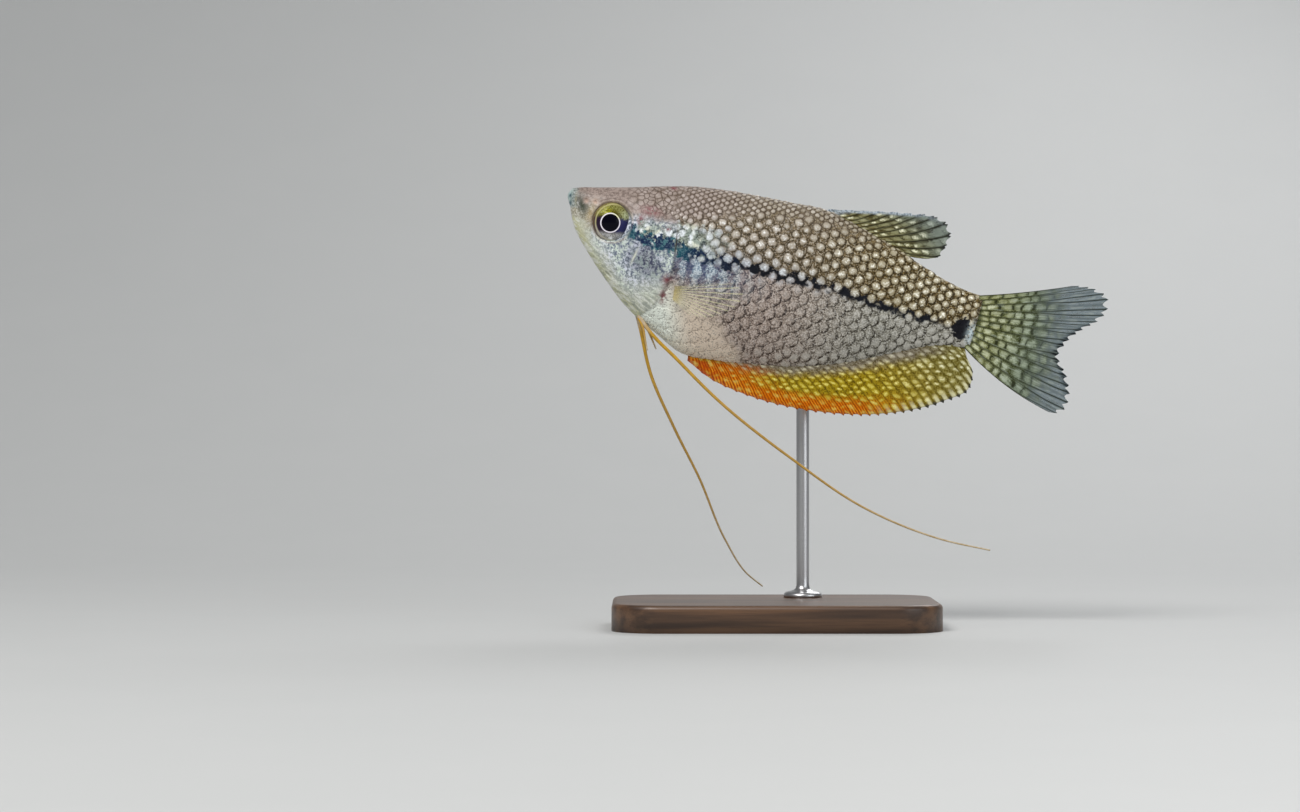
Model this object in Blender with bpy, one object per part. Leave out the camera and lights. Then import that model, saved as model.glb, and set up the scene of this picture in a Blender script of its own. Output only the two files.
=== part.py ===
"""A pearl gourami as a still, life-size model on a plain display stand.

Metres, +Z up. The fish faces -X with its left side towards -Y. The origin is the middle of the
underside of the stand's base. The fish is drawn level, snout at the front of its own axis, in
millimetres, and one pose then tilts it nose up and lifts it to its place over the base.
"""
import math

import bmesh
import bpy
import numpy as np

MM = 0.001
GAP = 0.30

# Driving dimensions of the fish, in millimetres, and its pose over the stand.
BODY_LENGTH = 78.5
PITCH = math.radians(16.0)
SNOUT_PLACE = (-38.1, 79.9)

# Outline of the body seen from the side: station from the snout, height over the level axis.
BACK = ((0.0, -0.3), (0.5, 1.0), (5.4, 2.65), (12.4, 4.7), (23.0, 7.9), (32.3, 9.15), (39.8, 9.75),
        (47.0, 10.2), (53.0, 9.0), (60.5, 7.1), (66.5, 5.3), (72.5, 3.6), (77.0, 3.0), (79.5, 3.0))
BELLY = ((0.0, -0.3), (0.8, -2.0), (3.0, -5.8), (7.1, -10.0), (11.8, -14.0), (17.0, -17.8),
         (22.4, -20.4), (28.8, -22.8), (34.0, -22.4), (41.0, -21.3), (48.0, -19.8), (57.0, -16.6),
         (66.4, -11.8), (72.0, -9.0), (77.0, -7.6), (79.5, -7.5))
HALF_WIDTH = ((0.0, 0.0), (0.5, 0.95), (2.0, 1.75), (5.0, 2.85), (9.0, 4.0), (14.0, 5.0), (20.0, 5.9),
              (27.0, 6.4), (36.0, 6.3), (46.0, 5.5), (56.0, 4.2), (66.0, 2.8), (73.0, 1.9), (79.5, 1.4))
WIDEST_SHARE = ((0.0, 0.5), (6.0, 0.56), (22.0, 0.58), (40.0, 0.60), (60.0, 0.55), (79.5, 0.5))
KEEL_POWER = ((0.0, 0.52), (14.0, 0.56), (30.0, 0.72), (60.0, 0.70), (79.5, 0.60))
BACK_POWER = 0.55
SIDES = 36

# Edge of the gill cover: where the head ends and the trunk begins, from the nape to the breast.
GILL_EDGE = ((13.0, 19.6), (4.0, 20.2), (-0.5, 21.0), (-6.5, 22.0), (-12.3, 21.9), (-16.0, 20.6),
             (-18.5, 18.6), (-26.0, 14.6))
GILL_COVER_RISE = 0.35
TAIL_CUT = 60.0

# Eye, in the side view and in depth.
EYE_CENTRE = (9.05, -2.9)
EYE_RADIUS = 3.45
EYE_HALF_DEPTH = 2.0
EYE_SUNK = 1.55
EYE_TURN = math.radians(-13.0)

# Line of the mouth, from the middle of the upper front to the corners.
MOUTH_FRONT = (0.62, 1.0)
MOUTH_CORNER = (2.35, -1.95)
LIP_RADIUS = 0.42
LIP_APART = 0.53
NOSTRILS = ((3.7, -0.55, 0.34), (5.35, -0.35, 0.26))

# Fins: thickness of the membrane and of its rays, root to tip.
MEMBRANE = 0.50
RAY = 0.86
TIP = 0.34

# Pelvic threads: middle line in the model's frame (X, depth, Z), from inside the breast to the tip.
LEFT_ROUTE = ((-25.1, 0.8, 57.4), (-23.3, 1.1, 54.7), (-18.2, 1.9, 49.4), (-10.7, 2.8, 41.9), (2.7, 4.2, 31.2),
              (16.1, 5.4, 22.1), (30.4, 6.2, 16.3), (39.0, 6.6, 14.4))
RIGHT_ROUTE = ((-25.3, 0.8, 57.4), (-24.7, 1.1, 54.6), (-23.1, 2.6, 47.3), (-18.7, 5.4, 37.0), (-13.8, 8.6, 27.2),
               (-8.9, 12.4, 15.6), (-4.9, 14.8, 9.3), (-1.8, 16.2, 6.7))
THREAD_RADIUS = (0.36, 0.16)
THREAD_LENGTHS = ("upper", "middle", "tip")
PELVIC_LOBE = 3.0
LEFT_STUB = ((-25.2, 0.8, 57.2), (-24.3, 1.2, 55.0), (-23.9, 1.5, 52.8), (-23.5, 1.7, 50.9))
RIGHT_STUB = ((-24.6, 0.7, 57.2), (-23.5, 1.0, 55.0), (-22.6, 1.3, 52.9), (-21.9, 1.5, 51.2))
STUB_RADIUS = (0.34, 0.24)

# Stand.
BASE_SIZE = (60.0, 40.0, 5.0)
BASE_CORNER = 9.0
BASE_EDGE = 0.9
ROD_PLACE = (5.5, 9.2)
ROD_TOP = 60.0
ROD_BEND = 3.2
ROD_RADIUS = 1.2
ROD_FOOT_RADIUS = 3.6
ROD_FOOT_HEIGHT = 1.2


for old in list(bpy.data.objects):
    bpy.data.objects.remove(old, do_unlink=True)


def smooth_curve(knots, at):
    """Height of a smooth curve through the knots; each tangent is the weighted mean slope beside it."""
    points = np.asarray(knots, float)
    at = np.asarray(at, float)
    order = np.argsort(points[:, 0])
    x, y = points[order, 0], points[order, 1]
    step = np.diff(x)
    slope = np.diff(y) / step
    tangent = np.empty_like(x)
    tangent[0], tangent[-1] = slope[0], slope[-1]
    tangent[1:-1] = (slope[:-1] * step[1:] + slope[1:] * step[:-1]) / (step[:-1] + step[1:])
    cell = np.clip(np.searchsorted(x, at) - 1, 0, len(step) - 1)
    t = (at - x[cell]) / step[cell]
    rise = y[cell] * (1 + 2 * t) * (1 - t) ** 2 + y[cell + 1] * t ** 2 * (3 - 2 * t)
    lean = (tangent[cell] * t * (1 - t) ** 2 - tangent[cell + 1] * t ** 2 * (1 - t)) * step[cell]
    return rise + lean


def along(knots, station):
    """A body outline at a station; the knots are spread by the square root, so the snout is round."""
    rooted = [(math.sqrt(place), value) for place, value in knots]
    return smooth_curve(rooted, np.sqrt(np.maximum(station, 0.0)))


def eased(value, start, end):
    """Smooth step from 0 at start to 1 at end."""
    t = np.clip((value - start) / (end - start), 0.0, 1.0)
    return t * t * (3 - 2 * t)


def section(station, share, cheek=0.0, grow=0.0):
    """Height and half width of the body at a station; share runs from -1 at the keel to 1 at the back.

    Above and below the widest line the half width falls as (1 - share squared) to a power: about
    0.5 is an ellipse, and more is a sharper ridge or keel.
    """
    top = along(BACK, station) + grow
    bottom = along(BELLY, station) - grow
    middle = bottom + along(WIDEST_SHARE, station) * (top - bottom)
    height = np.where(share > 0, middle + share * (top - middle), middle + share * (middle - bottom))
    power = np.where(share > 0, BACK_POWER, along(KEEL_POWER, station))
    round_off = np.maximum(1 - share ** 2, 0.0)
    half = (along(HALF_WIDTH, station) + grow) * round_off ** power
    return height, half + cheek * eased(station, 6.0, 15.0) * round_off


def half_width_at(station, height, cheek=0.0):
    """Half width of the body at a station and a height in the side view."""
    top, bottom = along(BACK, station), along(BELLY, station)
    middle = bottom + along(WIDEST_SHARE, station) * (top - bottom)
    share = np.where(height > middle, (height - middle) / (top - middle), (height - middle) / (middle - bottom))
    return section(station, np.clip(share, -1.0, 1.0), cheek)[1]


def posed(points):
    """Level fish coordinates in millimetres to the model's frame in metres."""
    points = np.asarray(points, float)
    forward, side, up = points[..., 0], points[..., 1], points[..., 2]
    x = SNOUT_PLACE[0] + forward * math.cos(PITCH) + up * math.sin(PITCH)
    z = SNOUT_PLACE[1] - forward * math.sin(PITCH) + up * math.cos(PITCH)
    return np.stack([x, side, z], axis=-1) * MM


def finish_material(name, colour, roughness, metallic=0.0):
    """A Principled material for one kind of surface."""
    material = bpy.data.materials.new(name)
    material.use_nodes = True
    shader = material.node_tree.nodes["Principled BSDF"]
    shader.inputs["Base Color"].default_value = (*colour, 1.0)
    shader.inputs["Roughness"].default_value = roughness
    shader.inputs["Metallic"].default_value = metallic
    material.diffuse_color = (*colour, 1.0)
    return material


SKIN = finish_material("pearly_skin", (0.42, 0.36, 0.28), 0.35)
EYE = finish_material("eye", (0.35, 0.30, 0.10), 0.10)
FIN = finish_material("fin_membrane", (0.45, 0.42, 0.18), 0.40)
ORANGE_FIN = finish_material("orange_fin", (0.80, 0.35, 0.04), 0.40)
CLEAR_FIN = finish_material("clear_fin", (0.62, 0.60, 0.45), 0.30)
THREAD = finish_material("golden_thread", (0.80, 0.45, 0.12), 0.40)
WALNUT = finish_material("dark_wood", (0.10, 0.05, 0.025), 0.45)
STEEL = finish_material("brushed_steel", (0.55, 0.55, 0.56), 0.30, 1.0)


def new_object(name, points, faces, material=None):
    """An object from points in metres and faces, shaded smooth with its sharp edges kept."""
    mesh = bpy.data.meshes.new(name)
    mesh.from_pydata(np.asarray(points).reshape(-1, 3).tolist(), [], faces)
    mesh.validate()
    tidy = bmesh.new()
    tidy.from_mesh(mesh)
    bmesh.ops.recalc_face_normals(tidy, faces=tidy.faces)
    tidy.to_mesh(mesh)
    tidy.free()
    mesh.shade_smooth()
    mesh.set_sharp_from_angle(angle=math.radians(40))
    made = bpy.data.objects.new(name, mesh)
    bpy.context.scene.collection.objects.link(made)
    if material is not None:
        mesh.materials.append(material)
    return made


def ring_faces(rings, sides, first=0):
    """Quads between neighbouring closed rings."""
    faces = []
    for ring in range(rings - 1):
        for side in range(sides):
            a = first + ring * sides + side
            b = first + ring * sides + (side + 1) % sides
            faces.append((a, b, b + sides, a + sides))
    return faces


def apply_boolean(target, operation, others, solver="EXACT"):
    """Joins closed objects to the target, or cuts them from it, all at once, and removes them."""
    group = bpy.data.collections.new(target.name + "_pieces")
    bpy.context.scene.collection.children.link(group)
    for other in others:
        bpy.context.scene.collection.objects.unlink(other)
        group.objects.link(other)
    cut = target.modifiers.new("pieces", "BOOLEAN")
    cut.operation = operation
    cut.operand_type = "COLLECTION"
    cut.collection = group
    cut.solver = solver
    bpy.context.view_layer.objects.active = target
    bpy.ops.object.modifier_apply(modifier=cut.name)
    for other in others:
        bpy.data.objects.remove(other, do_unlink=True)
    bpy.data.collections.remove(group)


def keep_largest(target):
    """Drops every loose closed surface but the largest."""
    tidy = bmesh.new()
    tidy.from_mesh(target.data)
    tidy.verts.ensure_lookup_table()
    unseen = set(tidy.verts)
    groups = []
    while unseen:
        front = [unseen.pop()]
        group = set(front)
        while front:
            vertex = front.pop()
            for edge in vertex.link_edges:
                other = edge.other_vert(vertex)
                if other in unseen:
                    unseen.discard(other)
                    group.add(other)
                    front.append(other)
        groups.append(group)
    largest = max(groups, key=len)
    loose = [vertex for group in groups if group is not largest for vertex in group]
    bmesh.ops.delete(tidy, geom=loose, context="VERTS")
    tidy.to_mesh(target.data)
    tidy.free()


def body_length(name, stations, cheek=0.0, grow=0.0, snout=False):
    """A closed length of the body: a ring at each station, a point at the snout, flat ends."""
    angle = np.arange(SIDES) * 2 * math.pi / SIDES
    share = np.sin(angle)
    side = np.where(np.cos(angle) >= 0, 1.0, -1.0)
    points = []
    for station in stations:
        height, half = section(station, share, cheek, grow)
        points.append(np.stack([np.full(SIDES, station), side * half, height], axis=-1))
    points = np.concatenate(points)
    faces = ring_faces(len(stations), SIDES)
    last = len(stations) - 1
    faces.append([last * SIDES + index for index in range(SIDES)])
    if snout:
        tip = (0.0, 0.0, float(along(BACK, 0.0)))
        points = np.vstack([points, tip])
        pole = len(points) - 1
        faces += [(index, pole, (index + 1) % SIDES) for index in range(SIDES)]
    else:
        faces.append([index for index in range(SIDES)][::-1])
    return new_object(name, posed(points), faces, SKIN)


def side_block(name, outline, half_depth):
    """A block cut out of the side view: an outline in level coordinates, straight through in depth."""
    count = len(outline)
    near = [(x, -half_depth, z) for x, z in outline]
    far = [(x, half_depth, z) for x, z in outline]
    faces = [list(range(count)), list(range(count, 2 * count))[::-1]]
    faces += [(i, (i + 1) % count, count + (i + 1) % count, count + i) for i in range(count)]
    return new_object(name, posed(near + far), faces)


def gill_line(shift):
    """Points down the gill cover's edge, moved tailwards by a distance."""
    heights = np.linspace(13.0, -26.0, 27)
    return [(float(smooth_curve(GILL_EDGE, height)) + shift, float(height)) for height in heights]


def ellipsoid(name, centre, radii, turn=0.0, segments=24, rings=14):
    """A closed ellipsoid in level coordinates, its poles on the depth axis, turned about the up axis."""
    points = []
    for ring in range(1, rings):
        polar = math.pi * ring / rings
        angle = np.arange(segments) * 2 * math.pi / segments
        out = math.sin(polar)
        points.append(np.stack([radii[0] * out * np.cos(angle), np.full(segments, radii[1] * math.cos(polar)),
                                radii[2] * out * np.sin(angle)], axis=-1))
    points = np.concatenate(points + [np.array([[0, radii[1], 0], [0, -radii[1], 0]])])
    x = points[:, 0] * math.cos(turn) - points[:, 1] * math.sin(turn)
    y = points[:, 0] * math.sin(turn) + points[:, 1] * math.cos(turn)
    points = np.stack([x, y, points[:, 2]], axis=-1) + np.asarray(centre)
    faces = ring_faces(rings - 1, segments)
    first_pole, last_pole = len(points) - 2, len(points) - 1
    last_ring = (rings - 2) * segments
    for index in range(segments):
        following = (index + 1) % segments
        faces.append((first_pole, following, index))
        faces.append((last_pole, last_ring + index, last_ring + following))
    return new_object(name, posed(points), faces)


def standing(points):
    """Millimetres in the model's frame to metres."""
    return np.asarray(points, float) * MM


def swept_tube(name, path, radii, sides=8, round_ends=False, material=None, place=posed):
    """A closed tube along a path, its rings square to the path."""
    path = np.asarray(path, float)
    run = np.gradient(path, axis=0)
    run /= np.linalg.norm(run, axis=1, keepdims=True)
    across = np.cross(run, (0.0, 1.0, 0.0))
    short = np.linalg.norm(across, axis=1) < 0.2
    across[short] = np.cross(run[short], (1.0, 0.0, 0.0))
    across /= np.linalg.norm(across, axis=1, keepdims=True)
    other = np.cross(run, across)
    angle = np.arange(sides) * 2 * math.pi / sides
    circle = np.cos(angle)[None, :, None] * across[:, None] + np.sin(angle)[None, :, None] * other[:, None]
    points = path[:, None] + circle * np.asarray(radii, float)[:, None, None]
    points = points.reshape(-1, 3)
    count = len(path)
    faces = ring_faces(count, sides)
    if round_ends:
        ends = np.stack([path[0] - run[0] * radii[0] * 0.8, path[-1] + run[-1] * radii[-1] * 0.8])
        points = np.vstack([points, ends])
        start, end = len(points) - 2, len(points) - 1
        for index in range(sides):
            following = (index + 1) % sides
            faces.append((start, following, index))
            faces.append((end, (count - 1) * sides + index, (count - 1) * sides + following))
    else:
        faces.append(list(range(sides))[::-1])
        faces.append([(count - 1) * sides + index for index in range(sides)])
    return new_object(name, place(points), faces, material)


# Head: the flesh ahead of the gill edge, with lips, mouth line, nostrils, eye sockets and rims.
def eye_place(side):
    """Centre of an eye: in the side view as measured, and sunk below the cheek."""
    surface = float(half_width_at(EYE_CENTRE[0], EYE_CENTRE[1], GILL_COVER_RISE))
    return (EYE_CENTRE[0], side * (surface - EYE_SUNK), EYE_CENTRE[1])


def mouth_path(shift, steps=13):
    """The line of the mouth over the snout, corner to corner, moved ahead or behind the cleft."""
    ahead = np.array([MOUTH_CORNER[1] - MOUTH_FRONT[1], MOUTH_FRONT[0] - MOUTH_CORNER[0]])
    ahead /= np.linalg.norm(ahead)
    way = np.linspace(-1.0, 1.0, steps)
    from_front = np.abs(way) ** 1.6
    x = MOUTH_FRONT[0] + (MOUTH_CORNER[0] - MOUTH_FRONT[0]) * from_front + ahead[0] * shift
    z = MOUTH_FRONT[1] + (MOUTH_CORNER[1] - MOUTH_FRONT[1]) * from_front + ahead[1] * shift
    z = np.minimum(z, along(BACK, np.maximum(x, 0.05)))
    y = np.sign(way) * half_width_at(np.maximum(x, 0.05), z)
    return np.stack([x, y, z], axis=-1)


def lip(name, shift):
    """A soft rounded lip beside the cleft, thinner towards the corners."""
    path = mouth_path(shift)
    way = np.linspace(-1.0, 1.0, len(path))
    radii = LIP_RADIUS * (1.0 - 0.5 * way ** 2)
    return swept_tube(name, path, radii, sides=8, round_ends=True)


def rim(name, side):
    """The soft rim round an eye: a slim ring that lies on the cheek."""
    centre = eye_place(side)
    steps, sides = 28, 6
    angle = np.arange(steps) * 2 * math.pi / steps
    reach = EYE_RADIUS + 0.25
    x = centre[0] + reach * np.cos(angle)
    z = centre[2] + reach * np.sin(angle)
    y = side * (half_width_at(x, z, GILL_COVER_RISE) - 0.05)
    middle = np.stack([x, y, z], axis=-1)
    outward = np.stack([np.cos(angle), np.zeros(steps), np.sin(angle)], axis=-1)
    depth = np.array([0.0, 1.0, 0.0])
    turn = np.arange(sides) * 2 * math.pi / sides
    ring = np.cos(turn)[None, :, None] * outward[:, None] + np.sin(turn)[None, :, None] * depth
    points = (middle[:, None] + 0.36 * ring).reshape(-1, 3)
    faces = ring_faces(steps, sides)
    last = (steps - 1) * sides
    for index in range(sides):
        following = (index + 1) % sides
        faces.append((last + index, last + following, following, index))
    return new_object(name, posed(points), faces)


HEAD_STATIONS = [0.12, 0.45, 1.0, 1.8, 2.8, 4.0, 5.3, 6.6, 8.0, 9.4, 10.8, 12.3, 13.8, 15.4, 17.0, 18.7, 20.4,
                 22.1, 24.0]
head = body_length("head", HEAD_STATIONS, cheek=GILL_COVER_RISE, snout=True)
head_pieces = [lip("lower_lip", LIP_APART), lip("upper_lip", -LIP_APART), rim("left_rim", -1), rim("right_rim", 1)]
apply_boolean(head, "UNION", head_pieces, "MANIFOLD")

behind = gill_line(0.0) + [(40.0, -30.0), (40.0, 20.0)]
cutters = [side_block("behind_gills", behind, 20.0)]
for side in (-1, 1):
    cutters.append(ellipsoid("socket", eye_place(side),
                             (EYE_RADIUS + GAP, EYE_HALF_DEPTH + GAP, EYE_RADIUS + GAP), side * EYE_TURN))
    for place, height, radius in NOSTRILS:
        depth = side * float(half_width_at(place, height))
        cutters.append(ellipsoid("nostril", (place, depth, height), (radius, 0.45, radius), 0.0, 8, 6))
apply_boolean(head, "DIFFERENCE", cutters, "MANIFOLD")
keep_largest(head)
head.data.materials.clear()
head.data.materials.append(SKIN)

# Eyes: flat lens-shaped balls, a gap clear of their sockets.
for name, side in (("eye_left", -1), ("eye_right", 1)):
    eye = ellipsoid(name, eye_place(side), (EYE_RADIUS, EYE_HALF_DEPTH, EYE_RADIUS), side * EYE_TURN, 24, 12)
    eye.data.materials.append(EYE)

# Trunk and tail stalk, parted by one straight cut.
trunk_stations = list(np.linspace(13.0, TAIL_CUT - GAP / 2, 25))
trunk = body_length("trunk", trunk_stations)
body_length("tail_stalk", list(np.linspace(TAIL_CUT + GAP / 2, BODY_LENGTH, 11)))


def fin_columns(rays):
    """Places of the columns across a fin, in rays, and whether each is a ray's crest."""
    places, crest = [], []
    for ray in range(rays):
        places.append(float(ray))
        crest.append(True)
        if ray < rays - 1:
            places += [ray + 0.32, ray + 0.68]
            crest += [False, False]
    return np.array(places) / (rays - 1), np.array(crest)


def fin_plate(name, rays, rows, root, edge, bend, material, sway=None, place=posed, thick=1.0):
    """A closed fin with its rays raised in its surface, the same on both faces.

    root and edge give the side-view place of each ray's root and tip from its share across the fin;
    a ray bows by bend times its length. The half thickness falls evenly from root to tip, more on a
    ray than between rays, and between rays the edge stops a little short.
    """
    across, crest = fin_columns(rays)
    start, end = root(across), edge(across)
    reach = np.linspace(0.0, 1.0, rows)
    short = np.where(crest, 1.0, 0.965)
    out = reach[None, :] * short[:, None]
    run = end - start
    square = np.stack([run[:, 1], -run[:, 0]], axis=-1)
    line = start[:, None] + run[:, None] * out[..., None]
    line = line + square[:, None] * (bend(across)[:, None] * 4 * out * (1 - out))[..., None]
    full = np.where(crest, RAY, MEMBRANE)[:, None] * thick
    flesh = 0.5 * (1 - eased(out, 0.0, 0.22)) * thick
    half = 0.5 * (full + (TIP - full) * out ** 1.5) + 0.5 * flesh
    middle = np.zeros_like(out) if sway is None else sway(line[..., 0], line[..., 1])
    near = np.stack([line[..., 0], middle - half, line[..., 1]], axis=-1)
    far = np.stack([line[..., 0], middle + half, line[..., 1]], axis=-1)
    columns = len(across)
    count = columns * rows
    points = np.concatenate([near.reshape(-1, 3), far.reshape(-1, 3)])
    faces = []
    for column in range(columns - 1):
        for row in range(rows - 1):
            a = column * rows + row
            b, c, d = a + rows, a + rows + 1, a + 1
            faces += [(a, b, c), (a, c, d), (count + a, count + c, count + b), (count + a, count + d, count + c)]
    border = [row for row in range(rows)]
    border += [column * rows + rows - 1 for column in range(1, columns)]
    border += [(columns - 1) * rows + row for row in range(rows - 2, -1, -1)]
    border += [column * rows for column in range(columns - 2, 0, -1)]
    for index, a in enumerate(border):
        b = border[(index + 1) % len(border)]
        faces += [(a, b, count + b), (a, count + b, count + a)]
    return new_object(name, place(points), faces, material)


def through(knots):
    """A smooth line through a few points, by its share of the way along."""
    points = np.asarray(knots, float)
    way = np.concatenate([[0.0], np.cumsum(np.linalg.norm(np.diff(points, axis=0), axis=1))])
    way /= way[-1]

    def line(share):
        axes = [smooth_curve(np.stack([way, values], axis=-1), share) for values in points.T]
        return np.stack(axes, axis=-1)
    return line


# Anal fin: a long fringe from the breast to the tail, deepest behind its middle.
ANAL_START, ANAL_END = 29.2, 77.6
ANAL_EDGE = ((29.6, -23.6), (34.2, -25.6), (42.6, -26.9), (55.8, -26.2), (67.1, -23.4), (76.9, -18.3),
             (81.1, -14.4), (80.7, -11.0), (78.9, -9.1))


def anal_root(share):
    """Just below the keel."""
    station = ANAL_START + (ANAL_END - ANAL_START) * share
    return np.stack([station, along(BELLY, station) - GAP - 0.05], axis=-1)


anal_edge = through(ANAL_EDGE)
fin_plate("fin_anal", 36, 6, anal_root, lambda share: anal_edge(share ** 0.8), lambda share: -0.04 + 0.0 * share,
          ORANGE_FIN)

# Dorsal fin: short, folded back over the tail stalk.
DORSAL_START, DORSAL_END = 46.4, 60.2
DORSAL_EDGE = ((47.6, 10.9), (52.7, 11.8), (58.0, 13.1), (62.3, 14.0), (65.9, 14.6), (68.7, 13.9), (69.9, 12.3),
               (69.7, 9.8), (69.0, 7.6), (67.0, 6.6))


def dorsal_root(share):
    """Just above the back."""
    station = DORSAL_START + (DORSAL_END - DORSAL_START) * share
    return np.stack([station, along(BACK, station) + GAP + 0.05], axis=-1)


dorsal_edge = through(DORSAL_EDGE)
fin_plate("fin_dorsal", 13, 7, dorsal_root, lambda share: dorsal_edge(share ** 0.85),
          lambda share: 0.05 + 0.0 * share, FIN)

# Tail fin: one fan in two lobes, face to face along a line from the stalk to the notch.
CAUDAL_ROOT = ((79.0, 2.75), (79.1, -2.2), (79.0, -7.25))
CAUDAL_UPPER = ((94.6, 9.5), (98.4, 9.9), (101.1, 9.0), (101.7, 6.9), (100.9, 4.8), (98.4, 2.2), (96.3, -0.5),
                (95.4, -2.7), (95.2, -3.75))
CAUDAL_LOWER = ((95.2, -4.1), (95.9, -5.0), (97.3, -6.4), (98.6, -8.5), (99.4, -11.2), (98.9, -13.4), (97.2, -14.5))
CAUDAL_PARTING = (0.565, 0.597)
caudal_root = through(CAUDAL_ROOT)
caudal_upper, caudal_lower = through(CAUDAL_UPPER), through(CAUDAL_LOWER)


def caudal_sway(station, height):
    """The tail fin swings a little to the far side."""
    return 0.0032 * (station - BODY_LENGTH) ** 2


fin_plate("fin_caudal_upper", 9, 8, lambda share: caudal_root(CAUDAL_PARTING[0] * share), caudal_upper,
          lambda share: 0.015 * (1 - share), FIN, caudal_sway)
fin_plate("fin_caudal_lower", 8, 8, lambda share: caudal_root(CAUDAL_PARTING[1] + (1 - CAUDAL_PARTING[1]) * share),
          caudal_lower, lambda share: 0.05 * share, FIN, caudal_sway)

# Pectoral fins: clear rounded fans that stand a little off the flanks.
PECTORAL_ROOT = ((23.6, -11.3), (23.9, -13.7))
PECTORAL_EDGE = ((31.0, -8.6), (34.2, -8.0), (36.1, -9.3), (35.7, -11.4), (33.9, -13.4), (30.9, -15.2),
                 (28.0, -15.6))
PECTORAL_FLARE = math.tan(math.radians(17.0))
pectoral_root, pectoral_edge = through(PECTORAL_ROOT), through(PECTORAL_EDGE)
for name, side in (("fin_pectoral_left", -1), ("fin_pectoral_right", 1)):
    def pectoral_sway(station, height, side=side):
        root_depth = float(half_width_at(23.6, -12.5)) + 0.75
        return side * (root_depth + (station - 23.6) * PECTORAL_FLARE)
    fin_plate(name, 9, 6, pectoral_root, pectoral_edge, lambda share: 0.0 * share, CLEAR_FIN, pectoral_sway,
              thick=0.9)

# Pelvic fins: each one long thread, in three lengths; its fleshy root and the short stub ray beside it
# belong to the trunk.
def thread_line(route, side):
    """A thread's middle line by its share of the way, and its length."""
    points = np.array([(x, side * depth, z) for x, depth, z in route])
    line = through(points)
    sample = line(np.linspace(0, 1, 400))
    return line, float(np.linalg.norm(np.diff(sample, axis=0), axis=1).sum())


lobes = []
for word, side, route, stub in (("left", -1, LEFT_ROUTE, LEFT_STUB), ("right", 1, RIGHT_ROUTE, RIGHT_STUB)):
    stub_line, _ = thread_line(stub, side)
    lobes.append(swept_tube("pelvic_stub", stub_line(np.linspace(0, 1, 7)), np.linspace(*STUB_RADIUS, 7),
                            sides=6, place=standing))
    line, length = thread_line(route, side)
    lobe_end = PELVIC_LOBE / length
    lobes.append(swept_tube("pelvic_lobe", line(np.linspace(0, lobe_end, 6)), np.linspace(0.6, 0.44, 6),
                            sides=8, place=standing))
    first = lobe_end + GAP / length
    share = (1 - first - 2 * GAP / length) / 3
    for index, part in enumerate(THREAD_LENGTHS):
        start = first + index * (share + GAP / length)
        way = np.linspace(start, start + share, 12)
        radii = THREAD_RADIUS[0] + (THREAD_RADIUS[1] - THREAD_RADIUS[0]) * way
        swept_tube(f"pelvic_{word}_{part}", line(way), radii, sides=6, material=THREAD, place=standing)
apply_boolean(trunk, "UNION", lobes)
ahead = gill_line(GAP) + [(-5.0, -30.0), (-5.0, 20.0)]
apply_boolean(trunk, "DIFFERENCE", [side_block("ahead_of_gills", ahead, 20.0)])
keep_largest(trunk)
trunk.data.materials.clear()
trunk.data.materials.append(SKIN)


# Stand: a flat wooden base and a steel rod that turns in to the far flank and is cut to it.
def rounded_plate(name, size, corner, edge):
    """A flat plate with round corners and a small bevel round its upper edge."""
    steps = 8
    levels = ((0.0, 0.0), (size[2] - edge, 0.0), (size[2] - 0.3 * edge, 0.3 * edge), (size[2], edge))
    points = []
    for height, inset in levels:
        for quarter in range(4):
            across = 1 if quarter in (0, 3) else -1
            deep = 1 if quarter in (0, 1) else -1
            middle = (across * (size[0] / 2 - corner), deep * (size[1] / 2 - corner))
            for step in range(steps + 1):
                angle = math.pi / 2 * (quarter + step / steps)
                radius = corner - inset
                points.append((middle[0] + radius * math.cos(angle), middle[1] + radius * math.sin(angle), height))
    around = 4 * (steps + 1)
    faces = ring_faces(len(levels), around)
    faces.append(list(range(around))[::-1])
    faces.append([(len(levels) - 1) * around + index for index in range(around)])
    return new_object(name, standing(points), faces, WALNUT)


rounded_plate("stand_base", BASE_SIZE, BASE_CORNER, BASE_EDGE)
foot = BASE_SIZE[2] + GAP
foot_shape = ((0.0, ROD_FOOT_RADIUS), (0.6, ROD_FOOT_RADIUS), (1.0, 0.75 * ROD_FOOT_RADIUS),
              (1.3, 1.15 * ROD_RADIUS), (1.7, ROD_RADIUS))
rod_path = [(*ROD_PLACE, foot + rise * ROD_FOOT_HEIGHT) for rise, _ in foot_shape]
rod_radii = [radius for _, radius in foot_shape]
for step in range(7):
    turn = math.pi / 2 * step / 6
    rod_path.append((ROD_PLACE[0], ROD_PLACE[1] - ROD_BEND * (1 - math.cos(turn)),
                     ROD_TOP - ROD_BEND * (1 - math.sin(turn))))
rod_path.append((ROD_PLACE[0], ROD_PLACE[1] - ROD_BEND - 3.0, ROD_TOP))
rod_radii += [ROD_RADIUS] * 8
rod = swept_tube("stand_rod", rod_path, rod_radii, sides=16, material=STEEL, place=standing)
swollen = body_length("swollen_body", list(np.linspace(20.0, BODY_LENGTH, 40)), grow=GAP)
apply_boolean(rod, "DIFFERENCE", [swollen])
keep_largest(rod)
rod.data.materials.clear()
rod.data.materials.append(STEEL)
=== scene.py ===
"""Looks of the pearl gourami on its display stand: skin, scales, eyes, fins, threads and stand."""
import math

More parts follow.
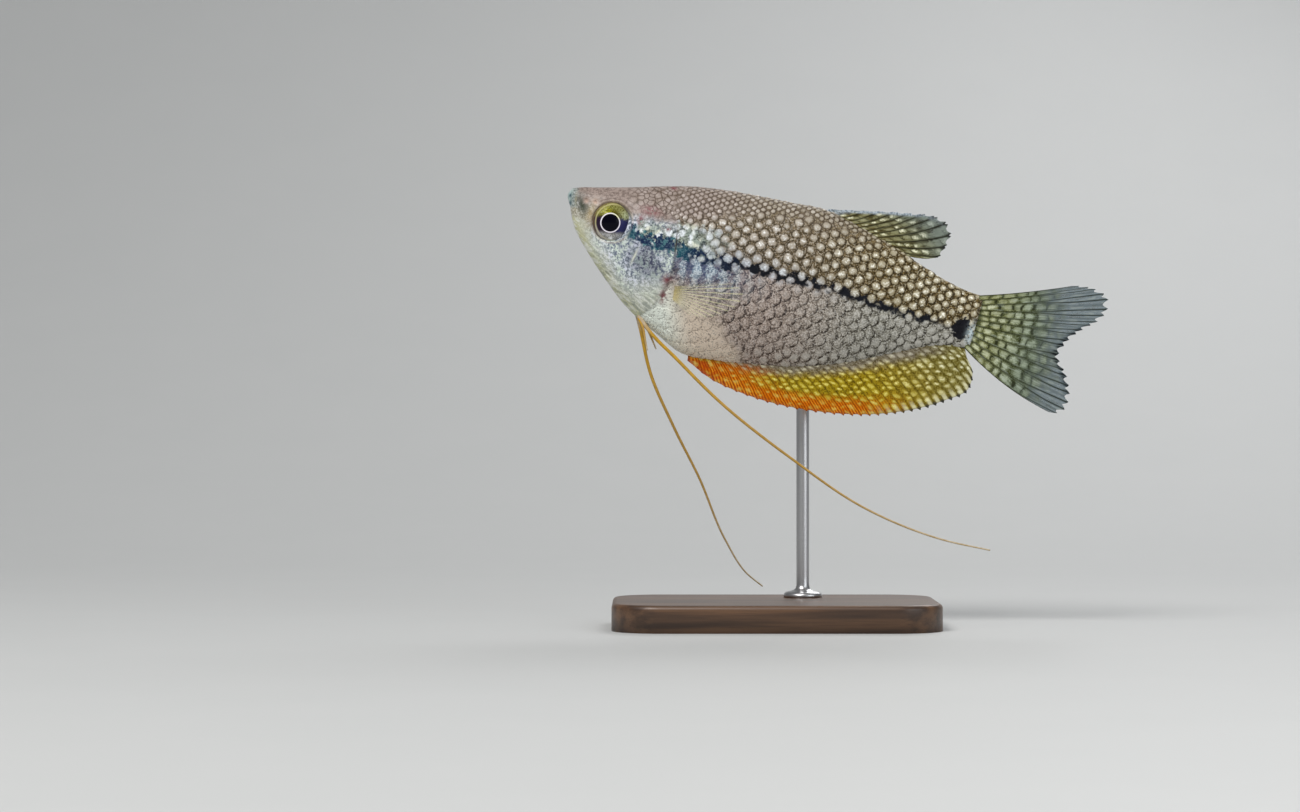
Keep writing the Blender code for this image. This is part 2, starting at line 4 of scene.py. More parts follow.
import bpy
import numpy as np
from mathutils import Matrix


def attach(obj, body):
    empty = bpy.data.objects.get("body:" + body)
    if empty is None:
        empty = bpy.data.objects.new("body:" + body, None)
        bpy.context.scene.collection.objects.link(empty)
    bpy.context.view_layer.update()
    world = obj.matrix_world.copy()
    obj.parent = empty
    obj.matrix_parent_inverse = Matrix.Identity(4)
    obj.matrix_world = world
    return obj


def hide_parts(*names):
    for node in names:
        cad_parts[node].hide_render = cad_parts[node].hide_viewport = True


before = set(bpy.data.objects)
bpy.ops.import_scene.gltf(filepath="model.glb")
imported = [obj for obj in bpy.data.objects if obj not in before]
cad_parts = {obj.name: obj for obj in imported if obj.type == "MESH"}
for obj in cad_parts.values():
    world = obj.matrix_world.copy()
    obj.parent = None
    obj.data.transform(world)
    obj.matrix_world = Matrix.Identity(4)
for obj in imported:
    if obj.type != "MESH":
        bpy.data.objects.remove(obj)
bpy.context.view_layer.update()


# Skin of head, trunk and tail: one unbroken hide over the whole body, cast and painted. It carries the
# lips, the cleft of the mouth, nostrils, gill cover and eye sockets, and the scales are set on it.
MM = 0.001
BODY_LENGTH = 78.5
PITCH = math.radians(16.0)
SNOUT_PLACE = (-38.1, 79.9)
BACK = ((0.0, -0.3), (0.5, 1.0), (5.4, 2.65), (12.4, 4.7), (23.0, 7.9), (32.3, 9.15), (39.8, 9.75),
        (47.0, 10.2), (53.0, 9.0), (60.5, 7.1), (66.5, 5.3), (72.5, 3.6), (77.0, 3.0), (79.5, 3.0))
BELLY = ((0.0, -0.3), (0.8, -2.0), (3.0, -5.8), (7.1, -10.0), (11.8, -14.0), (17.0, -17.8),
         (22.4, -20.4), (28.8, -22.8), (34.0, -22.4), (41.0, -21.3), (48.0, -19.8), (57.0, -16.6),
         (66.4, -11.8), (72.0, -9.0), (77.0, -7.6), (79.5, -7.5))
HALF_WIDTH = ((0.0, 0.0), (0.5, 0.95), (2.0, 1.75), (5.0, 2.85), (9.0, 4.0), (14.0, 5.0), (20.0, 5.9),
              (27.0, 6.4), (36.0, 6.3), (46.0, 5.5), (56.0, 4.2), (66.0, 2.8), (73.0, 1.9), (79.5, 1.4))
WIDEST_SHARE = ((0.0, 0.5), (6.0, 0.56), (22.0, 0.58), (40.0, 0.6), (60.0, 0.55), (79.5, 0.5))
KEEL_POWER = ((0.0, 0.52), (14.0, 0.56), (30.0, 0.72), (60.0, 0.7), (79.5, 0.6))
BACK_POWER = 0.55
GILL_EDGE = ((13.0, 19.6), (4.0, 20.2), (-0.5, 21.0), (-6.5, 22.0), (-12.3, 21.9), (-16.0, 20.6),
             (-18.5, 18.6), (-26.0, 14.6))
GILL_COVER_RISE = 0.35
EYE_CENTRE = (9.33, -3.03)
EYE_RADIUS = 3.68
EYE_TURN = math.radians(-13.0)
MOUTH_FRONT = (0.38, 0.55)
MOUTH_CORNER = (1.1, -2.25)
NOSTRILS = ((3.7, -0.55, 0.34), (5.35, -0.35, 0.26))
CHEEK_ARC = (9.5, -6.5, 5.9)
COAT_DEPTH = 0.14
LATERAL_LINE = -4.1


def smooth_curve(knots, at):
    """Cubic between the knots; each knot's slope is the mean of the slopes beside it, by distance."""
    points = np.asarray(knots, float)
    points = points[np.argsort(points[:, 0])]
    x, y = points[:, 0], points[:, 1]
    step = np.diff(x)
    slope = np.diff(y) / step
    tangent = np.empty_like(x)
    tangent[0], tangent[-1] = slope[0], slope[-1]
    tangent[1:-1] = (slope[:-1] * step[1:] + slope[1:] * step[:-1]) / (step[:-1] + step[1:])
    at = np.asarray(at, float)
    cell = np.clip(np.searchsorted(x, at) - 1, 0, len(step) - 1)
    t = (at - x[cell]) / step[cell]
    rise = y[cell] * (1 + 2 * t) * (1 - t) ** 2 + y[cell + 1] * t ** 2 * (3 - 2 * t)
    lean = (tangent[cell] * t * (1 - t) ** 2 - tangent[cell + 1] * t ** 2 * (1 - t)) * step[cell]
    return rise + lean


def along(knots, station):
    """A body outline at a station: the smooth curve over the square root of the station."""
    rooted = [(math.sqrt(place), value) for place, value in knots]
    return smooth_curve(rooted, np.sqrt(np.maximum(station, 0.0)))


def eased(value, start, end):
    """Smooth step: t squared times (3 - 2t), t from 0 at start to 1 at end."""
    t = np.clip((value - start) / (end - start), 0.0, 1.0)
    return t * t * (3 - 2 * t)


def bump(distance, width):
    """Bell curve: e to minus the square of distance over width."""
    return np.exp(-(distance / width) ** 2)


def section(station, share, grow=0.0):
    """Height and half width of the bare body; share runs from -1 at the keel to 1 at the back.

    Half width is the widest half times (1 - share squared) to a power, about a half for an ellipse
    and more for a sharper ridge or keel.
    """
    top, bottom = along(BACK, station) + grow, along(BELLY, station) - grow
    middle = bottom + along(WIDEST_SHARE, station) * (top - bottom)
    height = middle + share * np.where(share > 0, top - middle, middle - bottom)
    power = np.where(share > 0, BACK_POWER, along(KEEL_POWER, station))
    half = (along(HALF_WIDTH, station) + grow) * np.maximum(1 - share ** 2, 0.0) ** power
    return height, half


def half_width_at(station, height):
    """Half width of the bare body at a station and a height in the side view."""
    top, bottom = along(BACK, station), along(BELLY, station)
    middle = bottom + along(WIDEST_SHARE, station) * (top - bottom)
    share = (height - middle) / np.where(height > middle, top - middle, middle - bottom)
    return section(station, np.clip(share, -1.0, 1.0))[1]


def posed(points):
    """Level fish millimetres to the model's metres: tilt by the pitch, move the snout to its place."""
    points = np.asarray(points, float)
    ahead, side, up = points[..., 0], points[..., 1], points[..., 2]
    x = SNOUT_PLACE[0] + ahead * math.cos(PITCH) + up * math.sin(PITCH)
    z = SNOUT_PLACE[1] - ahead * math.sin(PITCH) + up * math.cos(PITCH)
    return np.stack([x, side, z], axis=-1) * MM


def relief(station, height, share):
    """How far the hide stands out from the bare body, in the side view's coordinates.

    A sum of bell curves over distances to points, arcs and lines: gill cover, eye rim and socket,
    lips and cleft, nostrils, cheek groove and jaw crease.
    """
    out = COAT_DEPTH * eased(station, 0.8, 3.5) * (1 - eased(station, 14.0, 20.0))
    cover = eased(station, 6.0, 15.0) * (1 - eased(station, 17.0, 27.0) * eased(height, -2.5, 0.5))
    out = out + GILL_COVER_RISE * cover * np.maximum(1 - share ** 2, 0.0)
    gill = smooth_curve(GILL_EDGE, height)
    out = out * (1 - eased(station, gill - 0.1, gill + 0.25) * (1 - eased(height, -2.5, 0.5)))
    groove = 0.16 * bump(station - gill - 0.45, 0.3) * (1 - eased(height, -2.5, -0.5))
    out = out - groove * np.maximum(1 - share ** 2, 0.0)
    from_eye = np.hypot(station - EYE_CENTRE[0], height - EYE_CENTRE[1])
    out = out + 0.12 * bump(from_eye - EYE_RADIUS - 0.28, 0.26) - 1.5 * (1 - eased(from_eye, 3.27, 3.72))
    run = np.array([MOUTH_CORNER[0] - MOUTH_FRONT[0], MOUTH_CORNER[1] - MOUTH_FRONT[1]])
    length = np.linalg.norm(run)
    run = run / length
    down = ((station - MOUTH_FRONT[0]) * run[0] + (height - MOUTH_FRONT[1]) * run[1]) / length
    off = (station - MOUTH_FRONT[0]) * run[1] - (height - MOUTH_FRONT[1]) * run[0]
    mouth = 1 - eased(down, 0.85, 1.12)
    lips = 0.015 * bump(off - 0.42, 0.3) * eased(down, 0.0, 0.3) + 0.12 * bump(off + 0.42, 0.26)
    out = out + mouth * (lips - 0.34 * bump(off, 0.11) * eased(down, -0.05, 0.3))
    for place, level, radius in NOSTRILS:
        reach = np.hypot(station - place, height - level)
        out = out - 0.3 * bump(reach, radius) + 0.1 * bump(reach - 1.6 * radius, 0.14)
    ahead, up = station - CHEEK_ARC[0], height - CHEEK_ARC[1]
    arc, turn = np.hypot(ahead, up) - CHEEK_ARC[2], np.degrees(np.arctan2(up, ahead))
    out = out - 0.16 * bump(arc, 0.24) * eased(turn, -88, -70) * (1 - eased(turn, 12, 34))
    crease = (height + 12.5) - (station - 11.8) * -0.25
    out = out - 0.12 * bump(crease, 0.2) * eased(station, 10.6, 11.6) * (1 - eased(station, 14.6, 15.6))
    return out


def solid(name, points, faces, maps=(), values=()):
    """A smooth mesh from points in metres and faces, put into the scene.

    maps are (name, u and v of each point or of each corner) and values are (name, number of each point).
    """
    mesh = bpy.data.meshes.new(name)
    mesh.from_pydata(points.tolist(), [], faces)
    corner = np.empty(len(mesh.loops), int)
    mesh.loops.foreach_get("vertex_index", corner)
    for title, place in maps:
        flat = np.reshape(place, (-1, 2))
        flat = flat if len(flat) == len(corner) else flat[corner]
        mesh.uv_layers.new(name=title).data.foreach_set("uv", flat.ravel())
    for title, number in values:
        flat = np.ascontiguousarray(number, float).ravel()
        mesh.attributes.new(title, "FLOAT", "POINT").data.foreach_set("value", flat)
    mesh.shade_smooth()
    made = bpy.data.objects.new(name, mesh)
    bpy.context.scene.collection.objects.link(made)
    return made


def grid_mesh(name, grid, around=False, poles=(), maps=(), values=()):
    """A mesh on a grid of points, rows by columns; poles close the first and last rows when around.

    Maps and values are given for each grid point, and a pole takes the last grid point's.
    """
    rows, columns = grid.shape[:2]
    index = np.arange(rows * columns).reshape(rows, columns)
    following = np.roll(index, -1, axis=1) if around else index[:, 1:]
    here = index if around else index[:, :-1]
    quads = np.stack([here[:-1], following[:-1], following[1:], here[1:]], axis=-1).reshape(-1, 4)
    faces = quads.tolist()
    points = grid.reshape(-1, 3)
    for end, pole in enumerate(poles):
        points = np.vstack([points, pole])
        ring = index[-1] if end else index[0]
        pair = np.stack([ring, np.roll(ring, -1)], axis=-1)
        pair = pair if end else pair[:, ::-1]
        faces += np.hstack([pair, np.full((columns, 1), len(points) - 1)]).tolist()

    def padded(flat):
        return np.concatenate([flat, np.repeat(flat[-1:], len(poles), axis=0)])
    maps = [(title, padded(np.reshape(place, (-1, 2)))) for title, place in maps]
    values = [(title, padded(np.ravel(number))) for title, number in values]
    return solid(name, points, faces, maps, values)


class Wire:
    """A shader socket that takes part in sums like a number."""

    def __init__(self, finish, socket):
        self.finish = finish
        self.socket = socket

    def __add__(self, other):
        return self.finish.sum("ADD", self, other)

    def __sub__(self, other):
        return self.finish.sum("SUBTRACT", self, other)

    def __rsub__(self, other):
        return self.finish.sum("SUBTRACT", other, self)

    def __mul__(self, other):
        return self.finish.sum("MULTIPLY", self, other)

    def __truediv__(self, other):
        return self.finish.sum("DIVIDE", self, other)

    def __pow__(self, other):
        return self.finish.sum("POWER", self, other)

    def __abs__(self):
        return self.finish.sum("ABSOLUTE", self)

    __radd__ = __add__
    __rmul__ = __mul__

    def step(self, low, high):
        """Smooth step of this value: 0 below low, 1 above high."""
        return self.finish.node("ShaderNodeMapRange", {"interpolation_type": "SMOOTHSTEP"},
                                {"Value": self, "From Min": low, "From Max": high})

    def drop(self, low, high):
        """Smooth step down: 1 below low, 0 above high."""
        return 1 - self.step(low, high)

    def bell(self, width):
        """1 where this value is 0, falling off by its square over the width's."""
        return self.finish.sum("EXPONENT", (self / width) ** 2 * -1.0)

    def stray(self, amount):
        """How far this value is from a half, times an amount."""
        return (self - 0.5) * amount

    def between(self, low, high, first, second):
        """The first colour where this value is below low, the second above high, by a smooth step."""
        return self.finish.mix(self.step(low, high), first, second)


class Finish:
    """A Principled material built from expressions; fixed values go straight on its sockets."""

    def __init__(self, name, **fixed):
        self.material = bpy.data.materials.new(name)
        self.material.use_nodes = True
        self.tree = self.material.node_tree
        self.shader = self.tree.nodes["Principled BSDF"]
        for title, value in fixed.items():
            self.shader.inputs[title.replace("_", " ").title().replace("Ior", "IOR")].default_value = value

    def node(self, kind, settings=None, inputs=None, output=0):
        """Any node: its settings are set first, then the values or links of its sockets."""
        made = self.tree.nodes.new(kind)
        for title, value in (settings or {}).items():
            setattr(made, title, value)
        for title, value in (inputs or {}).items():
            if isinstance(value, Wire):
                self.tree.links.new(value.socket, made.inputs[title])
            else:
                made.inputs[title].default_value = value
        return Wire(self, made.outputs[output])

    def sum(self, operation, *terms):
        """A Math node on one to three terms."""
        return self.node("ShaderNodeMath", {"operation": operation}, dict(enumerate(terms)))

    def most(self, first, second):
        """The larger of two values."""
        return self.sum("MAXIMUM", first, second)

    def reach(self, across, up):
        """Distance from a middle: the root of two squares' sum."""
        return self.sum("SQRT", across ** 2 + up ** 2)

    def mix(self, share, first, second):
        """A colour between two colours."""
        first, second = ((*c, 1.0) if isinstance(c, tuple) else c for c in (first, second))
        return self.node("ShaderNodeMix", {"data_type": "RGBA"}, {0: share, 6: first, 7: second}, output=2)

    def over(self, ground, *layers):
        """Colours laid over a ground one after another, each given as (share, colour)."""
        for share, colour in layers:
            ground = self.mix(share, ground, colour)
        return ground

    def noise(self, place, scale, detail=2.0):
        """Cloudy values round 0.5 over a place."""
        return self.node("ShaderNodeTexNoise", {}, {"Vector": place, "Scale": scale, "Detail": detail})

    def grain(self, coarse, place):
        """Uneven values round 0.5, half from a coarser cloud and half from a fine one."""
        return coarse * 0.5 + self.noise(place, 4.2, 1.0) * 0.5

    def cells(self, place, scale, feature="F1"):
        """Distance to the nearest cell centre, or edge, over a place."""
        return self.node("ShaderNodeTexVoronoi", {"feature": feature}, {"Vector": place, "Scale": scale})

    def number(self, attribute):
        """A number kept on the mesh's points."""
        return self.node("ShaderNodeAttribute", {"attribute_name": attribute}, output=2)

    def vector(self, x, y):
        """A point of a flat pattern."""
        return self.node("ShaderNodeCombineXYZ", {}, {0: x, 1: y})

    def split(self, vector):
        """The three numbers of a vector."""
        first = self.node("ShaderNodeSeparateXYZ", {}, {0: vector})
        return [Wire(self, socket) for socket in first.socket.node.outputs]

    def own(self, title):
        """The two coordinates of one of the piece's own maps."""
        return self.split(self.node("ShaderNodeUVMap", {"uv_map": title}))[:2]

    def place(self):
        """Object coordinates in millimetres."""
        where = self.node("ShaderNodeTexCoord", output=3)
        return self.node("ShaderNodeVectorMath", {"operation": "SCALE"}, {0: where, "Scale": 1000.0})

    def stretched(self, *factors):
        """Object coordinates in millimetres, each axis times its factor."""
        return self.node("ShaderNodeVectorMath", {"operation": "MULTIPLY"}, {0: self.place(), 1: factors})

    def side_view(self, place):
        """The level fish's station and height: the tilt by the pitch turned back."""
        x, _, z = self.split(place)
        x, z = x - SNOUT_PLACE[0], z - SNOUT_PLACE[1]
        return x * math.cos(PITCH) - z * math.sin(PITCH), x * math.sin(PITCH) + z * math.cos(PITCH)

    def feed(self, **wires):
        """Links wires to the Principled sockets."""
        for title, wire in wires.items():
            self.tree.links.new(wire.socket, self.shader.inputs[title.replace("_", " ").title()])

    def relief(self, height, strength, distance):
        """Bump from a height feeds Normal."""
        self.feed(normal=self.node("ShaderNodeBump", {}, {"Height": height, "Strength": strength,
                                                          "Distance": distance}))


def hide_colour(paint, place, station, height, plate=None):
    """The fish's markings, the same on hide and scales, as linear colours over the side view.

    plate holds a scale's distance from its pearl's middle in pearl radii, its dark edge and its tone.
    Gives back the colour, its finest cloud, and the soft halo and white core of the pearls, which is partly a
    painted glint.
    """
    behind_gill, over_keel = paint.number("behind_gill"), paint.number("over_keel")
    cloud, fleck = paint.noise(place, 0.9, 3.0), paint.noise(place, 1.7, 3.0)
    fine, broad = paint.noise(place, 2.8, 3.0), paint.noise(place, 0.25, 1.0)
    grain = paint.grain(fine, place)
    loose = paint.cells(place, 0.95) * 1.9
    seam = paint.cells(place, 0.95, "DISTANCE_TO_EDGE").drop(0.02, 0.12)
    middle, outline, tone = plate or (loose, seam, paint.noise(place, 0.5, 0.0))
    line = (-3.9 - 0.75 * station.step(13.0, 19.0) + 0.95 * station.step(26.0, 47.0)
            - 0.45 * station.step(52.0, 62.0))
    over_line = height - line
    above = (over_line + cloud.stray(0.8)).step(-0.6, 0.5)
    rear, front = station.step(38.0, 62.0), station.drop(22.0, 38.0)
    # Ground: olive brown above the stripe, mauve grey below it, each with two lighter and a darker tone.
    ground, soft, light, dark = (
        paint.mix(above, paint.mix(rear, low_front, low_rear), paint.mix(rear, high_front, high_rear))
        for low_front, low_rear, high_front, high_rear in (
            ((0.3, 0.235, 0.195), (0.235, 0.225, 0.185), (0.236, 0.178, 0.108), (0.18, 0.118, 0.036)),
            ((0.49, 0.405, 0.355), (0.47, 0.455, 0.405), (0.42, 0.375, 0.32), (0.41, 0.365, 0.25)),
            ((0.64, 0.59, 0.56), (0.66, 0.66, 0.63), (0.92, 0.92, 0.9), (0.96, 0.94, 0.82)),
            ((0.055, 0.038, 0.032), (0.036, 0.03, 0.021), (0.052, 0.037, 0.018), (0.03, 0.019, 0.004))))
    limit = 3.0 + 6.5 * station.step(14.0, 24.0) - 13.0 * station.step(28.0, 45.0)
    bare = (over_keel - limit + broad.stray(5.0) + cloud.stray(2.0)).drop(-2.8, 2.8) * (1 - above)
    cream = (station + (over_keel - 6.0) * 0.5).between(21.0, 29.0, (0.76, 0.81, 0.73), (0.7, 0.585, 0.47))
    cream = paint.mix(over_keel.drop(0.5, 3.0) * station.step(24.0, 29.0) * 0.5, cream, (0.7, 0.64, 0.52))
    ground, soft = paint.mix(bare, ground, cream), paint.mix(bare, soft, cream)
    light = paint.mix(bare, light, paint.mix(0.5, cream, (0.8, 0.8, 0.76)))
    dark = paint.mix(bare * 0.55, dark, cream)
    # Pearls: a white core in a soft halo within a thin dark ring, dim on the nape and along the back, large
    # and bluish beside the stripe. The white core is partly the pearl's own white and partly a painted glint.
    beside = over_line.bell(1.5) * station.step(22.0, 27.0)
    near = station.drop(30.0, 46.0) * above * over_line.drop(4.0, 9.0)
    swell = 0.86 + tone * 0.24 + beside * 0.08 + near * 0.26 + rear * 0.13
    from_pearl = middle / swell + grain.stray(1.1)
    halo = from_pearl.drop(0.6, 1.05)
    # White core of each pearl: its own white and a painted glint in one, bluish white beside the stripe.
    core_and_glint = (from_pearl + fine.stray(2.6)).drop(-0.3, 0.66)
    dim = 1 - (height - 0.03 * station).step(3.2, 7.8) * 0.72
    dim = paint.most(dim * (0.34 + 0.72 * tone), beside * (0.25 + 0.95 * tone)) * (0.7 + cloud * 0.55)
    lit = 0.3 + rear * 0.12 + paint.most(above, over_line.bell(2.0) * 0.8) * 0.8
    blue = beside * (1 - rear) + front * above * over_line.drop(1.5, 5.0)
    blue = paint.most(blue, near * tone.drop(0.3, 0.42) * 0.9)
    net = (from_pearl - 1.14).bell(0.23) * above * (0.4 + fleck.step(0.4, 0.54) * 0.75) * (1 - blue * 0.45)
    rim = paint.most(outline * (1 - above * 0.6), net)
    speck = (1 - above) * (1 - bare)
    pale_keel = speck * over_keel.drop(1.0, 4.5) * station.step(36.0, 46.0) * halo
    colour = paint.over(
        grain.between(0.4, 0.49, paint.mix(0.86, ground, dark), ground),
        (grain.step(0.51, 0.57) * 0.9, soft),
        (halo * (0.4 + 0.5 * dim) * (0.42 + 0.58 * above), soft),
        (core_and_glint * dim * lit, light),
        (blue * halo * 0.45, (0.44, 0.52, 0.64)),
        (blue * core_and_glint * dim * 0.85, (0.9, 0.95, 0.98)),
        (rim * (1 - bare * 0.85), dark),
        (speck * grain.drop(0.38, 0.46) * 0.32, dark),
        (speck * grain.step(0.54, 0.6) * 0.26, light),
        (pale_keel * 0.45, (0.6, 0.58, 0.52)),
        (bare * grain.drop(0.39, 0.46) * 0.4, (0.17, 0.15, 0.135)))
    # Pale blue bars with navy between them, behind the gill cover and below the stripe.
    shoulder = (station - 27.0).bell(8.5) * (height + 6.9 + cloud.stray(3.0)).bell(3.2)
    slats = paint.sum("SINE", (station + height * 0.14 + cloud.stray(3.4)) * (2 * math.pi / 2.5))
    barred = grain.between(0.42, 0.58, (0.19, 0.265, 0.35), (0.53, 0.62, 0.68))
    barred = paint.mix((slats + fleck.stray(3.4)).drop(-0.8, 0.6) * 0.92, barred, (0.03, 0.048, 0.125))
    colour = paint.mix(shoulder * 0.94, colour, barred)
    # Head: mauve crown, silver-blue cheek, mottled gill cover, cream throat, then marks of snout and lips.
    high = height.step(-1.0, 2.0)
    head = (behind_gill * 3.0 * (1 - high) + (station - 17.0 + cloud.stray(4.0)) * 0.3 * high).drop(-0.6, 0.9)
    crown = (height + 1.7 - station * 0.06 + cloud.stray(2.2)).step(-1.5, 1.5)
    pale = broad.between(0.42, 0.58, (0.74, 0.78, 0.92), (0.68, 0.78, 0.68))
    blotch = paint.noise(place, 1.05, 1.5) * 0.7 + grain * 0.3
    speckle = paint.noise(place, 1.8, 2.0) * 0.55 + grain * 0.45
    muzzle = (station + cloud.stray(2.5)).drop(4.2, 7.2) * (1 - crown)
    gill = (station - 17.2).bell(4.2) * (height + 8.4 + (station - 17.2) * 0.3 + cloud.stray(2.0)).bell(2.9)
    slant = paint.vector((station * 0.45 + height) * 1.1, (station - height * 0.45) * 0.22)
    slant = paint.noise(slant, 1.6, 2.0)
    cheek_streak = (station - 15.0 - (height + 8.0) * 0.17).bell(0.2) * (height + 8.0).bell(1.4)
    snout = (station - 3.2).bell(1.7) * (height + 1.5 + (station - 3.2) * 0.8).bell(1.6)
    amber = (station - 5.3).bell(0.9) * (height + 2.6).bell(2.0)
    bridle = (station - 1.75 + (height + 1.1) * 0.19).bell(0.26) * (height + 1.0).bell(1.2)
    from_lip = station + 0.16 * (height - 1.0)
    lip = (from_lip + cloud.stray(1.2)).drop(0.9, 2.2) * height.step(-2.6, -1.9)
    orbit = paint.reach(station - EYE_CENTRE[0], height - EYE_CENTRE[1])
    face = paint.over(
        paint.mix(crown, (0.3, 0.35, 0.385), (0.225, 0.175, 0.152)),
        (cloud.step(0.5, 0.62) * (1 - crown) * 0.55, (0.5, 0.55, 0.58)),
        (cloud.drop(0.38, 0.5) * (0.75 - crown * 0.45),
         paint.mix(crown, (0.19, 0.23, 0.285), (0.17, 0.13, 0.115))),
        (speckle.step(0.46, 0.56) * (0.95 - crown * 0.25), paint.mix(crown, pale, (0.365, 0.292, 0.262))),
        (speckle.drop(0.38, 0.48) * (0.8 - crown * 0.2),
         paint.mix(crown, (0.125, 0.155, 0.235), (0.135, 0.098, 0.086))),
        (grain.step(0.53, 0.6) * (1 - crown) * 0.4, (0.88, 0.91, 0.98)),
        (muzzle * 0.9, grain.between(0.43, 0.57, (0.3, 0.27, 0.19), (0.6, 0.57, 0.47))),
        (gill * 0.94, grain.between(0.42, 0.58, (0.06, 0.065, 0.092), (0.165, 0.18, 0.215))),
        (gill * cloud.drop(0.4, 0.5) * 0.85, (0.032, 0.036, 0.085)),
        (gill * blotch.step(0.52, 0.62) * 0.65, (0.35, 0.42, 0.41)),
        (bare * 0.85, over_keel.between(0.6, 2.6, (0.56, 0.56, 0.33), (0.57, 0.59, 0.47))),
        (bare * slant.step(0.5, 0.58) * 0.6, (0.78, 0.8, 0.76)),
        (bare * slant.drop(0.4, 0.47) * station.step(4.0, 12.0) * 0.55, (0.25, 0.28, 0.26)),
        (bare * grain.drop(0.4, 0.46) * station.step(6.0, 12.0) * 0.35, (0.24, 0.27, 0.26)),
        (cheek_streak * 0.85, (0.76, 0.78, 0.66)),
        (snout * (fleck * 0.5 + cloud * 0.5).step(0.3, 0.5), (0.05, 0.058, 0.04)),
        (amber * 0.6, (0.42, 0.3, 0.13)),
        (bridle * 0.7, (0.31, 0.23, 0.08)),
        (lip * 0.8, grain.between(0.44, 0.56, (0.13, 0.17, 0.165), (0.33, 0.38, 0.37))),
        (from_lip.drop(0.35, 0.95) * height.step(-2.5, -1.9) * 0.9, (0.48, 0.59, 0.56)),
        *(((station - ahead).bell(0.3) * (height - up).bell(0.55) * 0.9, (0.02, 0.06, 0.095))
          for ahead, up in ((0.52, -0.3), (0.84, -1.75))),
        *((paint.reach(station - ahead, height - up).bell(0.5) * 0.65, (0.62, 0.45, 0.37))
          for ahead, up, _ in NOSTRILS),
        ((orbit - EYE_RADIUS - 0.15).bell(0.22) * 0.45, (0.34, 0.265, 0.19)))
    colour = paint.mix(head, colour, face)
    # Nape and back: small rounded cells, light in the middle, in thin dark outlines.
    nape = (height - 0.6 - 6.0 * station.step(18.0, 40.0) + cloud.stray(1.8)).step(-2.2, 1.4)
    nape = nape * station.step(9.5, 13.5) * (1 - station.step(36.0, 60.0) * 0.7)
    crest = station.step(18.0, 23.0)
    middle = middle * crest + loose * (1 - crest)
    outline = outline * crest + seam * (1 - crest)
    cell = grain.between(0.42, 0.58, paint.mix(front, (0.165, 0.13, 0.08), (0.185, 0.14, 0.115)),
                         paint.mix(front, (0.29, 0.245, 0.18), (0.3, 0.24, 0.205)))
    cell = paint.over(
        cell,
        ((middle + grain.stray(1.2)).drop(0.62, 1.34) * (0.12 + tone * 0.66),
         paint.mix(front, (0.56, 0.51, 0.45), (0.47, 0.4, 0.375))),
        (paint.most(outline * (0.88 + crest * 0.12), (middle - 1.3).bell(0.25) * crest * 0.8),
         (0.075, 0.05, 0.035)))
    # White, cream and mint blotches on olive grey over the front of the stripe.
    patches = paint.cells(place, 0.72) + fleck.stray(0.6)
    flank = orbit.step(4.0, 5.6) * station.step(12.0, 14.0) * (station + cloud.stray(5.0)).drop(25.0, 32.0)
    flank = flank * (over_line + cloud.stray(2.0) + grain.stray(2.0)).step(-1.2, 0.2)
    flank = flank * (over_line - crest * 1.8 + fleck.stray(3.0)).drop(1.6, 4.2)
    # Stripe from the eye to the tail, ragged; teal in front, black behind, with the pearls beside it over it.
    ragged = cloud.stray(1.4 + front * 1.8) + fleck.stray(1.4 + front * 1.4) + grain.stray(1.2)
    wide = (1.08 + front * 0.14 - rear * 0.34) * (0.46 + 0.66 * paint.noise(place, 0.55, 1.0).step(0.36, 0.6))
    band = (abs(over_line + ragged) - wide).drop(-0.25, 0.35)
    band = band * station.step(12.2, 13.4) * station.drop(70.5, 74.0)
    ink = paint.over(
        paint.mix(broad.step(0.4, 0.6) * station.drop(21.0, 29.0), (0.005, 0.018, 0.062),
                  (0.008, 0.08, 0.105)),
        (blotch.step(0.5, 0.62) * station.drop(18.0, 27.0) * 0.8, (0.07, 0.2, 0.215)),
        (grain.step(0.5, 0.6) * station.drop(24.0, 36.0) * 0.45, (0.13, 0.21, 0.26)))
    ink = paint.mix(front, (0.005, 0.006, 0.01), ink)
    inked = 1 - halo * station.step(20.0, 26.0) * (tone + over_line * 0.16).step(0.38, 0.5) * 0.94
    spot = ((station - 76.3) / 1.75) ** 2 + ((height + 4.1) / 2.1) ** 2 + (cloud + fleck - 1.0) * 1.6
    sequin = (station - 78.4).bell(0.8) * (height + 4.6).bell(2.0) * fine.step(0.38, 0.52)
    # Red marks at the pectoral fin's root, by the eye and on the nape, and the gill cover's dark edge.
    red_marks = ((21.9, -10.5, 0.85, 1.0), (22.0, -13.5, 0.75, 1.4), (15.6, 0.8, 1.7, 0.8),
                 (14.2, -1.3, 0.6, 0.9), (18.5, 6.2, 0.6, 0.4), (19.4, -1.6, 0.8, 0.35))
    reddened = (cloud * 0.5 + fleck * 0.5).step(0.38, 0.52)
    colour = paint.over(
        colour,
        (nape * 0.92, cell),
        (flank * 0.9, grain.between(0.44, 0.57, (0.075, 0.09, 0.07), (0.235, 0.275, 0.23))),
        (flank * cloud.drop(0.38, 0.47) * 0.75, (0.045, 0.062, 0.07)),
        (flank * blotch.step(0.5, 0.58) * 0.55, (0.43, 0.5, 0.44)),
        (flank * patches.drop(0.3, 0.56) * (0.95 - grain.step(0.52, 0.4) * 0.3),
         broad.between(0.45, 0.55, (0.81, 0.86, 0.9), (0.8, 0.82, 0.68))),
        (band * inked, ink),
        (spot.drop(0.7, 1.05), (0.004, 0.004, 0.007)),
        (sequin * 0.9, (0.56, 0.68, 0.72)),
        ((behind_gill - 0.12).bell(0.13) * (height + 3.4).bell(2.4) * 0.85, (0.06, 0.035, 0.03)),
        *(((station - ahead).bell(long) * (height - up).bell(tall) * reddened * 0.95, (0.165, 0.03, 0.04))
          for ahead, up, long, tall in red_marks))
    return colour, fine, halo, core_and_glint


